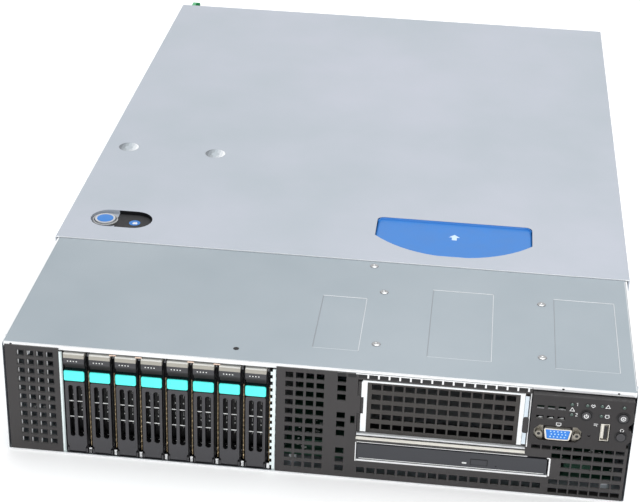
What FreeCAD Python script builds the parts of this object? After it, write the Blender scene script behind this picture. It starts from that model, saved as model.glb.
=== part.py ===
import FreeCAD, Part
import math
import os

os.makedirs("parts", exist_ok=True)
Vector = FreeCAD.Vector
along_x = Vector(1, 0, 0)
along_y = Vector(0, 1, 0)
along_z = Vector(0, 0, 1)

# A 2U rack server: 87 mm tall, with eight hot-swap drive carriers, a media bay and a
# control panel at the front, three fans in the middle and two power supplies at the rear.
# Millimetres. X to the right seen from the front, Y to the rear, Z up.
# The origin is the middle of the chassis floor's underside.

# ------------------------------------------------------------------ chassis and covers
chassis_depth = 680.0        # front plane to the rear wall's outside
chassis_width = 426.0        # over the two side walls
wall_top = 86.0              # top edge of the side walls
tray_steel = 1.2             # sheet of the chassis tray
sheet = 1.0                  # sheet of covers and brackets
tray_bend = 2.2              # outer radius of the tray's two long bends
cover_top = 87.3             # upper face of the sliding cover
cover_overhang = 2.0         # skirt's outside beyond the side wall
cover_front = 155.0          # seam, behind the front plane
cover_skirt_drop = 12.0
running_gap = 0.3            # between pieces that slide or are dropped in
rail_hole_radius = 2.2
rail_hole_pitch = 300.0
rail_hole_count = 2
rail_hole_middle = -130.0    # the pair's middle, from the chassis middle

front_y = -chassis_depth / 2
rear_y = chassis_depth / 2
half_width = chassis_width / 2
inner_half_width = half_width - tray_steel
cover_underside = cover_top - sheet
panel_top = cover_underside  # the fixed front panel lies one sheet below the cover's top
rear_wall_front = rear_y - tray_steel

round_sides = 24             # flats of a small round piece and of its hole
shaft_sides = 12

# ------------------------------------------------------------------ front panels
side_reveal = 1.5            # between a front panel and the side wall beside it
fascia_steel = 1.3
fascia_bottom = 1.5
fascia_top = 84.9
vent_panel_top = 85.4
fascia_return = 6.0          # depth of the folded rims behind the fascia
vent_panel_width = 36.7
vent_columns = 4
vent_rows = 11
vent_x_pitch = 6.65
vent_z_pitch = 7.0
vent_hole_width = 4.6
vent_hole_height = 4.3
vent_first_x = 8.3           # first hole's left edge, from the panel's left edge
vent_first_z = 11.8          # lowest row's top edge

vent_left = -inner_half_width + side_reveal
vent_right = vent_left + vent_panel_width

# ------------------------------------------------------------------ drive cage and carriers
carrier_count = 8
carrier_pitch = 17.7
carrier_width = 14.2
carrier_bottom = 2.5
carrier_top = 82.0
carrier_depth = 118.0
cage_flange_width = 2.2      # bare front flange on the cage's left wall
cage_right_margin = 4.3      # from the last carrier to the right flange
cage_depth = 120.0
cage_ceiling = 83.6
divider_sheet = 0.8
divider_setback = 9.0
drive_width = 15.0
drive_height = 69.85
drive_length = 100.2
drive_setback = 12.0
handle_width = 13.6
handle_bottom = 2.5
handle_top = 60.0
handle_thickness = 4.0
handle_proud = 0.2
handle_slot_bottom = 15.7
handle_slot_top = 57.2
handle_spine = 1.6            # how far the rib behind the bar between the slots stands back
handle_spine_width = 1.8
handle_slots = ((-4.5, 3.4), (1.0, 4.0))  # each slot's left edge from the middle, and width
neck_height = 3.1            # from the pivot to the lever's full width
pivot_pin_radius = 1.0
pivot_clearance = 0.06
cheek_width = 1.1
cheek_reach = 1.7            # ahead of the pivot
cheek_rise = 1.4             # above the pivot; the pin snaps in from above
bezel_back = 6.2             # front of the carrier's rear bezel plate
bezel_plate = 1.5
head_bottom = 73.5
latch_bottom = 61.0
latch_top = 69.0
latch_proud = 1.5
latch_travel = 1.5
latch_stem_width = 8.0
latch_stem_height = 4.0

cage_left = vent_right + running_gap
first_carrier = cage_left + cage_flange_width + 0.4 + drive_width / 2
last_carrier = first_carrier + (carrier_count - 1) * carrier_pitch
cage_right = last_carrier + carrier_width / 2 + cage_right_margin + cage_flange_width
cage_floor = tray_steel + sheet
pivot_z = handle_bottom + handle_thickness / 2
pivot_y = front_y - handle_proud + handle_thickness / 2

# ------------------------------------------------------------------ fascia and its bays
fascia_left = cage_right + running_gap
fascia_right = inner_half_width - side_reveal
fascia_grid_inset = 5.9
fascia_x_pitch = 6.93
fascia_z_pitch = 7.15
fascia_hole_width = 5.3
fascia_hole_height = 4.9
fascia_grid_bottom_row = 10.8
hole_column_inset = 40.8
hole_column_rows = (0, 1, 2, 4, 5, 6, 8, 9, 10)
bottom_row_inset = 55.7
bottom_row_pitch = 7.02
bottom_row_z = 5.5
bottom_row_height = 5.0
notch_inset = 40.6
notch_pitch = 7.05
notch_width = 5.6

control_width = 66.0
control_bottom = 44.0
control_top = 83.0
control_proud = 4.0
control_rear = 10.0
control_wall = 1.6
control_edge_step = 2.2      # right edge between and below the swells, from the panel's full width
control_shoulder = 8.0       # height of the full-width part at the top
control_right = inner_half_width - side_reveal
control_left = control_right - control_width
notch_count = int((control_left - fascia_left - notch_inset) / notch_pitch)

bay_left = fascia_left + 54.5
bay_right = control_left - 1.5
bay_bottom = 37.0
bay_top = 81.0
bay_wall_right = control_left - running_gap
filler_rows = 5
filler_x_pitch = 7.43
filler_z_pitch = 7.73
filler_hole_width = 6.2
filler_hole_height = 4.7
filler_strip = 6.0           # plain strip at each side of the perforated face
filler_columns = int((bay_right - bay_left - 2 * filler_strip) / filler_x_pitch)
filler_depth = 18.0
sill_proud = 4.5
sill_drop = 2.0

optical_left = bay_left + 1.1
optical_width = 128.0
optical_height = 12.7
optical_bottom = 17.3
optical_length = 127.0
optical_case_sheet = 0.8
optical_case_front = 7.0
optical_opening_drop = 2.0   # fascia opening below the bezel, where the shelf's lip shows
bezel_thickness = 5.6
eject_left = 77.3            # eject button's left edge, from the bezel's left edge
eject_width = 10.8
eject_height = 4.0
eject_bottom = 3.7
eject_travel = 0.8
disc_radius = 60.5
disc_sides = 40
spindle_radius = 7.3

shelf_top = optical_bottom
middle_shelf_bottom = 33.0
bay_depth = 145.0
optical_right = optical_left + optical_width

# ------------------------------------------------------------------ front top panel
panel_flange_setback = 1.6
panel_flange_bottom = 83.5
panel_bend = 1.3
panel_side_drop = 6.0
panel_lip_length = 12.0
panel_lip_drop = 0.4
label_recess_depth = 0.35
bay_flange_width = 14.0      # media bay's flanges under this panel

# ------------------------------------------------------------------ fans
fan_front = 246.0
fan_headroom = 4.8           # fan top to the side walls' top edge
fan_size = wall_top - tray_steel - fan_headroom
fan_depth = 38.0
fan_spacing = 8.0
fan_pitch = fan_size + fan_spacing
fan_count = 3
fan_bank_middle = 40.0
fan_first_x = fan_bank_middle - (fan_count - 1) * fan_pitch / 2
fan_wall = 2.0               # thinnest wall beside the bore
fan_bore_radius = fan_size / 2 - fan_wall
blade_tip_radius = fan_bore_radius - 1.0
hub_radius = 17.0
hub_sides = 15
rotor_depth = 25.0
blade_count = 5
blade_chord = 22.0
blade_pitch = 42.0           # degrees from the axis
fan_shaft_radius = 2.0
fan_shaft_clearance = 0.05
fan_centre_z = tray_steel + fan_size / 2

# ------------------------------------------------------------------ power supplies
psu_width = 106.0
psu_height = 39.6
psu_length = 300.0
psu_sheet = 1.0
psu_left = -inner_half_width + 2.8
psu_lower_bottom = 3.2
psu_rear_block = 25.0        # depth of the rear end with its inlet, vents and latch
psu_handle_proud = 20.8
psu_handle_bar = 5.0
psu_latch_proud = 17.0
psu_latch_width = 7.0
psu_latch_height = 22.0
psu_latch_rise = 1.3         # latch top above the supply's top
psu_latch_travel = 4.0
psu_right = psu_left + psu_width
psu_shelf_bottom = psu_lower_bottom + psu_height + running_gap
psu_upper_bottom = psu_shelf_bottom + sheet + running_gap

# ------------------------------------------------------------------ boards
board_steel_gap = 5.3        # floor to a board's underside
standoff_size = 5.0
board_thickness = 1.6
board_bottom = tray_steel + board_steel_gap
board_top = board_bottom + board_thickness
board_left = psu_right + 5.0
board_right = inner_half_width - 5.0
board_front = 4.0
board_rear = rear_wall_front - 2.0


# ------------------------------------------------------------------ chassis tray
rail_hole_z = wall_top / 2
interface_left = fascia_left + 4.0
interface_right = fascia_right - 5.0
interface_front = front_y + 14.0
interface_rear = front_y + 112.0
io_left = board_left + 6.0
io_right = io_left + 150.0
io_top = board_top + 18.0
slot_pitch = 20.32
slot_cover_height = 18.4
full_slot_length = 120.0
full_slot_left = board_right - 2.8 - full_slot_length
full_slot_count = 3
low_slot_left = board_left + 24.0
low_slot_length = 80.0
low_slot_count = 2
slot_row_top = 81.0
slot_window_inset = 1.8
rear_vent_left = low_slot_left + low_slot_length + 12.0
rear_vent_pitch = 8.8
rear_vent_width = 6.4
rear_vent_height = 37.0
rear_vent_top = slot_row_top - 5.0
rear_vent_count = int((full_slot_left - 10.0 - rear_vent_left) / rear_vent_pitch)

# ------------------------------------------------------------------ sliding top cover
dimples = ((18.4, 323.0), (92.4, 322.0))   # distances from the left wall and the front plane
dimple_radius = 8.5
dimple_depth = 0.6
latch_pocket_left = -half_width + 17.0
latch_pocket_right = latch_pocket_left + 48.0
latch_pocket_middle = 191.0
latch_pocket_radius = 14.0
latch_pocket_depth = 3.0
release_x = latch_pocket_left + 11.2
release_hole_radius = 8.2
grip_middle = half_width - 129.0
grip_half_width = 60.0
grip_rear = 227.5
grip_side_front = 196.5
grip_nose_front = 169.0
grip_depth = 4.0
grip_corner = 5.0
nose_flats = 20              # flats of the grip's front arc
corner_flats = 4

# ------------------------------------------------------------------ cover release button
release_cap_radius = release_hole_radius - running_gap
release_collar = 2.0         # collar's reach beyond the hole, under the pocket
release_cap_drop = 0.4       # cap's top below the cover's top

# ------------------------------------------------------------------ fixed front top panel
# each field's left and right edges from the right side wall, and its near and far edges from the front
label_fields = ((218.1, 186.4, 26.8, 99.3), (140.5, 96.8, 26.6, 119.3), (54.3, 11.0, 25.0, 119.3))
panel_small_hole = (157.7, 17.1, 1.3)   # from the left side wall, from the front, and its radius
pinhole_sides = 8

# ------------------------------------------------------------------ drive carriers
drive_bottom = (carrier_bottom + carrier_top - drive_height) / 2

# ------------------------------------------------------------------ front fascia
grille_columns = 9
grille_x_pitch = 6.98
grille_z_pitch = 7.0
grille_hole_width = 6.0
grille_hole_height = 4.4
grille_rows = 6
grille_lowest_top = 7.3
grille_margin = 2.5          # least sheet between a hole and the optical opening's end
grille_left = fascia_right - 1.0 - grille_columns * grille_x_pitch
bottom_row_left = fascia_left + bottom_row_inset
bottom_row_count = int((grille_left + 2 * grille_x_pitch - bottom_row_left) / bottom_row_pitch)
bottom_row_right = bottom_row_left + bottom_row_count * bottom_row_pitch
optical_opening_bottom = optical_bottom - optical_opening_drop
optical_opening_top = optical_bottom + optical_height + 1.4

# ------------------------------------------------------------------ control panel
# name: x from the panel's right edge, z, hole radius
button_places = {
    "power_button": (30.5, 70.1, 3.3),
    "id_button": (6.4, 70.2, 3.5),
    "reset_button": (6.5, 55.5, 3.3),
    "nmi_button": (27.2, 54.6, 1.0),
}
button_travel = 1.0
button_proud = 0.7
scallop_radius = 7.3
video_x = 47.7
video_z = 54.0
jackscrew_half_spacing = 12.5
usb_x = 17.3
usb_z = 57.7
usb_shell_width = 5.7
usb_shell_height = 13.1
control_board_front = 12.0
panel_boss_places = ((60.8, 80.4), (13.5, 80.4), (60.8, 45.9), (13.5, 45.9))
panel_boss_half = 1.5
collar_room_x = 4.45          # half of the room behind an outer button, for its collar
collar_room_z = 3.6
collar_reach = 0.6
switch_depth = 3.5

# ------------------------------------------------------------------ sockets
lan_count = 2
lan_left = io_left + 8
lan_pitch = 17.5
lan_width = 16.0
lan_height = 13.5
lan_mouth = rear_y + 0.6

# ------------------------------------------------------------------ boards and what stands on them
heat_sink_places = ((board_right - 172.8, 66.0), (board_right - 70.8, 66.0))
processor_half = 22.0
riser_places = (low_slot_left + low_slot_length + 6.0, full_slot_left - 8.0)
riser_front = 170.0
riser_rear = 300.0
riser_top = wall_top - 6.0
supply_board_gap = 4.4       # supplies' inner ends to the board that they plug into
heat_sink_size = 90.0
heat_sink_base = 4.0
heat_sink_top = 70.0
fin_count = 7
fin_sheet = 0.9
cpu_height = 7.0
memory_count = 4
memory_pitch = 12.0
memory_length = 133.35
memory_first_x = board_left + 10
memory_front = 20.0
memory_height = 30.0
memory_socket_height = 6.5

# ------------------------------------------------------------------ fans
motor_half = 13.0
motor_depth = 8.0

# ------------------------------------------------------------------ power supplies
inlet_left = 62.0            # from the supply's left side
inlet_width = 24.4
inlet_height = 16.4
inlet_depth = 18.0
inlet_pin_length = 12.5
psu_vent_left = 30.0
psu_handle_left = 14.0
psu_handle_inset = 5.0
latch_slot_left = 2.5


def block(x_low, x_high, y_low, y_high, z_low, z_high):
    """A box between two corners."""
    return Part.makeBox(x_high - x_low, y_high - y_low, z_high - z_low, Vector(x_low, y_low, z_low))


def rod_x(y, z, radius, x_low, x_high):
    return Part.makeCylinder(radius, x_high - x_low, Vector(x_low, y, z), Vector(1, 0, 0))


def rod_y(x, z, radius, y_low, y_high):
    return Part.makeCylinder(radius, y_high - y_low, Vector(x, y_low, z), Vector(0, 1, 0))


def rod_z(x, y, radius, z_low, z_high):
    return Part.makeCylinder(radius, z_high - z_low, Vector(x, y, z_low), Vector(0, 0, 1))


def sided_rod(base, way, across, radius, sides):
    """A rod with flat sides, from its base centre along a vector; across points at its first corner."""
    side_way = way.cross(across).normalize()
    corners = []
    for step in range(sides + 1):
        turn = 2 * math.pi * step / sides
        corners.append(base + across * (radius * math.cos(turn)) + side_way * (radius * math.sin(turn)))
    return Part.Face(Part.makePolygon(corners)).extrude(way)


def prism(points, push):
    """A closed outline of straight runs, pushed along a vector."""
    return Part.Face(Part.makePolygon([Vector(*p) for p in points + points[:1]])).extrude(Vector(*push))


def join(shapes):
    """One solid from pieces that overlap or share faces."""
    return shapes[0].fuse(list(shapes[1:])).removeSplitter()


def edges_along(solid, axis, test):
    """Straight edges that run along one axis and whose middle passes a test."""
    found = []
    for edge in solid.Edges:
        if len(edge.Vertexes) != 2:
            continue
        run = edge.Vertexes[1].Point - edge.Vertexes[0].Point
        if abs(abs(run.dot(axis)) - run.Length) < 1e-6 and run.Length > 1e-6:
            middle = (edge.Vertexes[1].Point + edge.Vertexes[0].Point) * 0.5
            if test(middle):
                found.append(edge)
    return found


def rounded_y(x_low, x_high, y_low, y_high, z_low, z_high, radius):
    """A block whose four edges along Y are rounded."""
    body = block(x_low, x_high, y_low, y_high, z_low, z_high)
    return body.makeFillet(radius, edges_along(body, along_y, lambda p: True))


def upright_slot(x_low, width, y_low, y_high, z_low, z_high):
    """A through slot along Z with bevelled ends, cut along Y."""
    body = block(x_low, x_low + width, y_low, y_high, z_low, z_high)
    return body.makeChamfer(width * 0.3, edges_along(body, along_y, lambda p: True))


def hole_grid(x_first, x_pitch, columns, top_of_lowest, z_pitch, rows, width, height, y_low, y_high):
    """Rectangular cutters in columns and rows; rows counts up from the lowest, or lists which rows."""
    row_list = range(rows) if isinstance(rows, int) else rows
    cutters = []
    for column in range(columns):
        for row in row_list:
            left = x_first + column * x_pitch
            top = top_of_lowest + row * z_pitch
            cutters.append(block(left, left + width, y_low, y_high, top - height, top))
    return cutters


def write(node, *solids):
    Part.makeCompound(list(solids)).exportStep("parts/" + node + ".step")


# ================================================================== chassis tray
def tray_shell():
    """Floor and both side walls from one sheet, with long bends, rail holes and board bosses."""
    outer = block(-half_width, half_width, front_y, rear_y, 0, wall_top)
    outer = outer.makeFillet(tray_bend, edges_along(outer, along_y, lambda p: p.z < 1))
    inner = block(-inner_half_width, inner_half_width, front_y - 1, rear_y + 1, tray_steel, wall_top + 1)
    inner = inner.makeFillet(tray_bend - tray_steel, edges_along(inner, along_y,
                                                                 lambda p: p.z < tray_steel + 1))
    cutters = [inner]
    for index in range(rail_hole_count):
        y = rail_hole_middle + (index - (rail_hole_count - 1) / 2) * rail_hole_pitch
        cutters.append(rod_x(y, rail_hole_z, rail_hole_radius, -half_width - 1, half_width + 1))
    notch_front = front_y + 8.0
    cutters.append(block(-half_width - 1, half_width + 1, notch_front, notch_front + 4.0, wall_top - 2.5,
                         wall_top + 1))
    tray = outer.cut(cutters)
    half = standoff_size / 2
    bosses = [block(x - half, x + half, y - half, y + half, tray_steel / 2, board_bottom)
              for x, y in board_boss_places()]
    return join([tray] + bosses)


def board_boss_places():
    """Under the system board's corners and middle, and under the interface board's corners."""
    places = []
    for x in (board_left + 8, (board_left + board_right) / 2, board_right - 8):
        for y in (board_front + 10, board_rear - 14):
            places.append((x, y))
    for x in (interface_left + 6, interface_right - 6):
        for y in (interface_front + 6, interface_rear - 6):
            places.append((x, y))
    return places


def slot_rows():
    """Each slot cover's left edge, length and bottom edge."""
    rows = []
    for left, length, count in ((full_slot_left, full_slot_length, full_slot_count),
                                (low_slot_left, low_slot_length, low_slot_count)):
        for index in range(count):
            rows.append((left, length, slot_row_top - slot_cover_height - index * slot_pitch))
    return rows


def rear_wall():
    """The rear wall stands between the side walls: supply bay, connector window, card slots and vents."""
    wall = block(-inner_half_width, inner_half_width, rear_wall_front, rear_y, tray_steel, wall_top)
    wall = wall.makeFillet(tray_bend - tray_steel, edges_along(wall, along_y, lambda p: p.z < tray_steel + 1))
    y_low, y_high = rear_wall_front - 1, rear_y + 1
    bay = block(psu_left - running_gap, psu_right + running_gap, y_low, y_high,
                psu_lower_bottom - running_gap, psu_upper_bottom + psu_height + running_gap)
    cutters = [bay, block(io_left, io_right, y_low, y_high, board_top - 0.5, io_top)]
    for left, length, bottom in slot_rows():
        cutters.append(block(left + slot_window_inset, left + length - slot_window_inset, y_low, y_high,
                             bottom + slot_window_inset, bottom + slot_cover_height - slot_window_inset))
    cutters += hole_grid(rear_vent_left, rear_vent_pitch, rear_vent_count, rear_vent_top, 0, 1,
                         rear_vent_width, rear_vent_height, y_low, y_high)
    return wall.cut(cutters)


def psu_cage():
    """Wall beside the two supplies and the shelf between them."""
    y_low = rear_y - psu_length
    wall_left = psu_right + running_gap
    wall = block(wall_left, wall_left + sheet, y_low, rear_wall_front, tray_steel, wall_top - 2)
    shelf = block(-inner_half_width, wall_left + 0.5, y_low, rear_wall_front,
                  psu_shelf_bottom, psu_shelf_bottom + sheet)
    return join([wall, shelf])


def psu_runners():
    """Two strips on the floor that the lower supply slides on."""
    runners = []
    for x in (psu_left + 12, psu_right - 20):
        runners.append(block(x, x + 8, rear_y - psu_length, rear_wall_front - 4, tray_steel,
                             psu_lower_bottom - running_gap))
    return runners


def make_chassis_tray():
    write("chassis_tray", tray_shell(), rear_wall(), psu_cage(), *psu_runners())


# ================================================================== sliding top cover
def arc_points(middle_x, middle_y, radius, first_turn, last_turn, steps):
    """Points on an arc about a middle, its turns in radians from the X direction."""
    turns = [first_turn + (last_turn - first_turn) * step / steps for step in range(steps + 1)]
    return [(middle_x + radius * math.cos(turn), middle_y + radius * math.sin(turn)) for turn in turns]


def stadium(x_low, x_high, y_middle, radius, z_low, z_high):
    """An upright prism with two round ends along X, each of as many flats as half a round piece."""
    quarter = math.pi / 2
    points = arc_points(x_high - radius, y_middle, radius, -quarter, quarter, round_sides // 2)
    points += arc_points(x_low + radius, y_middle, radius, quarter, 3 * quarter, round_sides // 2)
    return prism([(x, y, z_low) for x, y in points], (0, 0, z_high - z_low))


def grip_outline(grow):
    """Upright prism of the grip's footprint, grown by a wall: a front arc and rounded rear corners."""
    half = grip_half_width + grow
    rear = front_y + grip_rear + grow
    nose = front_y + grip_nose_front - grow
    nose_depth = grip_side_front - grip_nose_front + grow
    nose_radius = (half ** 2 + nose_depth ** 2) / (2 * nose_depth)
    lean = math.asin(half / nose_radius)
    corner = grip_corner + grow
    down = -math.pi / 2
    points = arc_points(grip_middle, nose + nose_radius, nose_radius, down - lean, down + lean, nose_flats)
    points += arc_points(grip_middle + half - corner, rear - corner, corner, 0, math.pi / 2, corner_flats)
    points += arc_points(grip_middle - half + corner, rear - corner, corner, math.pi / 2, math.pi,
                         corner_flats)
    z = cover_top - grip_depth - 6
    return prism([(x, y, z) for x, y in points], (0, 0, grip_depth + 8))


def grip_ramp(drop):
    """Everything above the grip's sloping floor, which falls from the nose to the rear edge."""
    nose = front_y + grip_nose_front
    rear = front_y + grip_rear
    slope = grip_depth / (rear - nose)
    y_low, y_high = nose - 20, rear + 20
    left = grip_middle - grip_half_width - 10
    z_low = cover_top - drop + 20 * slope
    z_high = cover_top - drop - (y_high - nose) * slope
    points = [(left, y_low, z_low), (left, y_high, z_high), (left, y_high, cover_top + 5),
              (left, y_low, cover_top + 5)]
    return prism(points, (2 * grip_half_width + 20, 0, 0))


def make_top_cover():
    """Sheet cover with side skirts, two round dimples, the latch pocket and the sloping finger grip."""
    outer_half = half_width + cover_overhang
    y_low, y_high = front_y + cover_front, rear_y
    plate = block(-outer_half, outer_half, y_low, y_high, cover_underside - cover_skirt_drop, cover_top)
    plate = plate.makeChamfer(0.8, edges_along(plate, along_y, lambda p: p.z > cover_top - 1))
    hollow = block(-outer_half + sheet, outer_half - sheet, y_low - 1, y_high + 1,
                   cover_underside - cover_skirt_drop - 1, cover_underside)
    cover = plate.cut(hollow)
    pocket_y = front_y + latch_pocket_middle
    pocket_half = latch_pocket_radius + sheet
    pocket_floor = cover_top - latch_pocket_depth
    below = [block(latch_pocket_left - sheet, latch_pocket_right + sheet, pocket_y - pocket_half,
                   pocket_y + pocket_half, pocket_floor - sheet, cover_top - 0.2)]
    below.append(grip_outline(sheet).common(grip_ramp(sheet)).common(
        block(-outer_half, outer_half, y_low, y_high, 0, cover_top - 0.2)))
    cutters = [stadium(latch_pocket_left, latch_pocket_right, pocket_y, latch_pocket_radius,
                       pocket_floor, cover_top + 1)]
    cutters.append(sided_rod(Vector(release_x, pocket_y, pocket_floor - 2), along_z * 3, along_x,
                             release_hole_radius, round_sides))
    cutters.append(grip_outline(0).common(grip_ramp(0)))
    cutters += [sided_rod(Vector(x - half_width, front_y + distance, cover_top - dimple_depth), along_z * 2,
                          along_x, dimple_radius, round_sides) for x, distance in dimples]
    write("top_cover", join([cover] + below).cut(cutters))


# ================================================================== cover release button
def make_cover_release_button():
    """A round push button in the cover's latch pocket, with a square collar under the pocket's floor."""
    y = front_y + latch_pocket_middle
    collar_top = cover_top - latch_pocket_depth - sheet - running_gap
    cap_top = cover_top - release_cap_drop
    cap = sided_rod(Vector(release_x, y, collar_top - 1), along_z * (cap_top - collar_top + 1), along_x,
                    release_cap_radius, round_sides)
    half = release_hole_radius + release_collar
    collar = block(release_x - half, release_x + half, y - half, y + half, collar_top - 1.5, collar_top)
    pawl = block(release_x - 3, release_x + 3, y + 2, y + 7, collar_top - 5, collar_top - 1)
    write("cover_release_button", join([cap, collar, pawl]))


# ================================================================== fixed front top panel
def make_front_top_panel():
    """Fixed panel over the drives and bays: folded front and side flanges and a stepped rear lip."""
    half = inner_half_width - running_gap
    y_low, y_high = front_y + panel_flange_setback, front_y + cover_front - running_gap
    outer = block(-half, half, y_low, y_high, panel_flange_bottom, panel_top)
    outer = outer.makeChamfer(panel_bend, edges_along(outer, along_x,
                                                      lambda p: p.z > panel_top - 1 and p.y < y_low + 1))
    hollow = block(-half + sheet, half - sheet, y_low + sheet, y_high + 1, panel_flange_bottom - 1,
                   panel_top - sheet)
    sides = [block(x, x + sheet, y_low + 6, y_high - 4, panel_top - sheet - panel_side_drop,
                   panel_top - sheet)
             for x in (-half, half - sheet)]
    lip_top = panel_top - panel_lip_drop
    lip = block(-half + 8, half - 8, y_high - 2, y_high + panel_lip_length, lip_top - sheet, lip_top)
    cutters = [block(half_width - left, half_width - right, front_y + near, front_y + far,
                     panel_top - label_recess_depth, panel_top + 1) for left, right, near, far in label_fields]
    for index in range(notch_count):
        left = fascia_left + notch_inset + index * notch_pitch
        cutters.append(block(left, left + notch_width, y_low - 1, y_low + 0.9, panel_flange_bottom + 1,
                             panel_top + 1))
    x, distance, radius = panel_small_hole
    cutters.append(sided_rod(Vector(x - half_width, front_y + distance, panel_top - 3), along_z * 4, along_x,
                             radius, pinhole_sides))
    write("front_top_panel", join([outer.cut(hollow), lip] + sides).cut(cutters))


# ================================================================== left vent panel
def make_left_vent_panel():
    """Perforated front plate over the air channel, with rims folded back along its sides."""
    plate = block(vent_left, vent_right, front_y, front_y + fascia_steel, fascia_bottom, vent_panel_top)
    rims = [block(x, x + fascia_steel, front_y, front_y + fascia_return, fascia_bottom, vent_panel_top - 3)
            for x in (vent_left, vent_right - fascia_steel)]
    foot = block(vent_left, vent_right, front_y, front_y + fascia_return, tray_steel,
                 tray_steel + fascia_steel)
    holes = hole_grid(vent_left + vent_first_x, vent_x_pitch, vent_columns, vent_first_z, vent_z_pitch,
                      vent_rows,
                      vent_hole_width, vent_hole_height, front_y - 1, front_y + fascia_steel + 1)
    write("left_vent_panel", join([plate, foot] + rims).cut(holes))


# ================================================================== drive cage
def carrier_centres():
    return [first_carrier + index * carrier_pitch for index in range(carrier_count)]


def cage_shell():
    """Floor, ceiling and two walls of the cage, with a narrow front flange on each wall."""
    y_low, y_high = front_y, front_y + cage_depth
    left_wall = block(cage_left, cage_left + sheet, y_low, y_high, tray_steel, cage_ceiling + sheet)
    right_wall = block(cage_right - sheet, cage_right, y_low, y_high, tray_steel, cage_ceiling + sheet)
    left_flange = block(cage_left, cage_left + cage_flange_width, y_low, y_low + sheet, tray_steel,
                        panel_flange_bottom - 0.4)
    right_flange = block(cage_right - cage_flange_width, cage_right, y_low, y_low + sheet, tray_steel,
                         panel_flange_bottom - 0.4)
    top_cut = block(cage_left - 1, cage_right + 1, y_low - 1, y_low + 3, panel_flange_bottom - 0.4,
                    cage_ceiling + 5)
    floor = block(cage_left, cage_right, y_low + 1, y_high, tray_steel, cage_floor)
    ceiling = block(cage_left, cage_right, y_low + 3, y_high, cage_ceiling, cage_ceiling + sheet)
    guides = []
    for centre in carrier_centres():
        guides.append(block(centre - 2, centre + 2, y_low + 8, y_high - 6, carrier_top + running_gap,
                            cage_ceiling + 0.2))
        side = centre + carrier_pitch / 2
        if centre < last_carrier - 1:
            guides.append(block(side - 1.1, side + 1.1, y_low + 1, y_low + 9, cage_floor - 0.2,
                                cage_floor + 3))
    shell = join([floor, left_wall, right_wall, left_flange, right_flange, ceiling] + guides)
    notches = [block(cage_right - 1.2, cage_right + 1, y_low - 1, y_low + sheet + 2,
                     top - fascia_hole_height, top)
               for top in [fascia_grid_bottom_row + row * fascia_z_pitch for row in range(1, vent_rows)]]
    return shell.cut([top_cut] + notches)


def cage_dividers():
    """Plain sheets between the carriers."""
    dividers = []
    for centre in carrier_centres()[:-1]:
        middle = centre + carrier_pitch / 2
        dividers.append(block(middle - divider_sheet / 2, middle + divider_sheet / 2,
                              front_y + divider_setback,
                              front_y + cage_depth, cage_floor, cage_ceiling))
    return dividers


def make_drive_cage():
    write("drive_cage", cage_shell(), *cage_dividers())


def make_drive_backplane():
    """Vertical board on the cage's rear edges, with a connector for each drive and air windows between."""
    y_low = front_y + cage_depth
    board = block(cage_left, cage_right, y_low, y_low + board_thickness, tray_steel, cage_ceiling)
    windows = [block(centre - 14, centre + 14, y_low - 1, y_low + board_thickness + 1, 50, 74)
               for centre in carrier_centres()[1::2]]
    drive_rear = front_y + drive_setback + drive_length
    sockets = [block(centre - 3, centre + 3, drive_rear + running_gap, y_low, 14, 44)
               for centre in carrier_centres()]
    write("drive_backplane", join([board.cut(windows)] + sockets))


# ================================================================== drive carriers
def carrier_frame(centre):
    """Bezel plate with its vent, head, hinge cheeks, and the two rails that hold the drive."""
    left, right = centre - carrier_width / 2, centre + carrier_width / 2
    back = front_y + bezel_back
    plate = block(left, right, back, back + bezel_plate, carrier_bottom, carrier_top)
    head = block(left, right, front_y - handle_proud, back, head_bottom, carrier_top)
    front_top = edges_along(head, along_x, lambda p: p.y < front_y + 1 and p.z > carrier_top - 1)
    head = head.makeChamfer(1.2, front_top)
    cheeks = [block(x_low, x_low + cheek_width, pivot_y - cheek_reach, back, handle_bottom + 0.2,
                    pivot_z + cheek_rise)
              for x_low in (left, right - cheek_width)]
    rail_rear = front_y + carrier_depth
    rails = [block(left, right, back, rail_rear, drive_bottom + drive_height, carrier_top),
             block(left, right, back, rail_rear, carrier_bottom, drive_bottom)]
    seat = pivot_pin_radius + pivot_clearance
    pin_seat = block(left - 1, right + 1, pivot_y - seat, pivot_y + seat, pivot_z - seat,
                     pivot_z + cheek_rise + 1)
    stem_z = (latch_bottom + latch_top) / 2
    stem_hole = block(centre - latch_stem_width / 2 - running_gap,
                      centre + latch_stem_width / 2 + running_gap,
                      back - 1, back + bezel_plate + 1,
                      stem_z - latch_stem_height / 2 - running_gap, stem_z + latch_stem_height / 2 + running_gap)
    vent = block(centre - 5, centre + 5.6, back - 1, back + bezel_plate + 1, handle_slot_bottom,
                 handle_slot_top - 2)
    return join([plate, head] + cheeks + rails).cut([pin_seat, stem_hole, vent])


def carrier_drive(centre):
    """The 2.5-inch drive, held between the rails."""
    y_low = front_y + drive_setback
    return block(centre - drive_width / 2, centre + drive_width / 2, y_low, y_low + drive_length,
                 drive_bottom, drive_bottom + drive_height)


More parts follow.
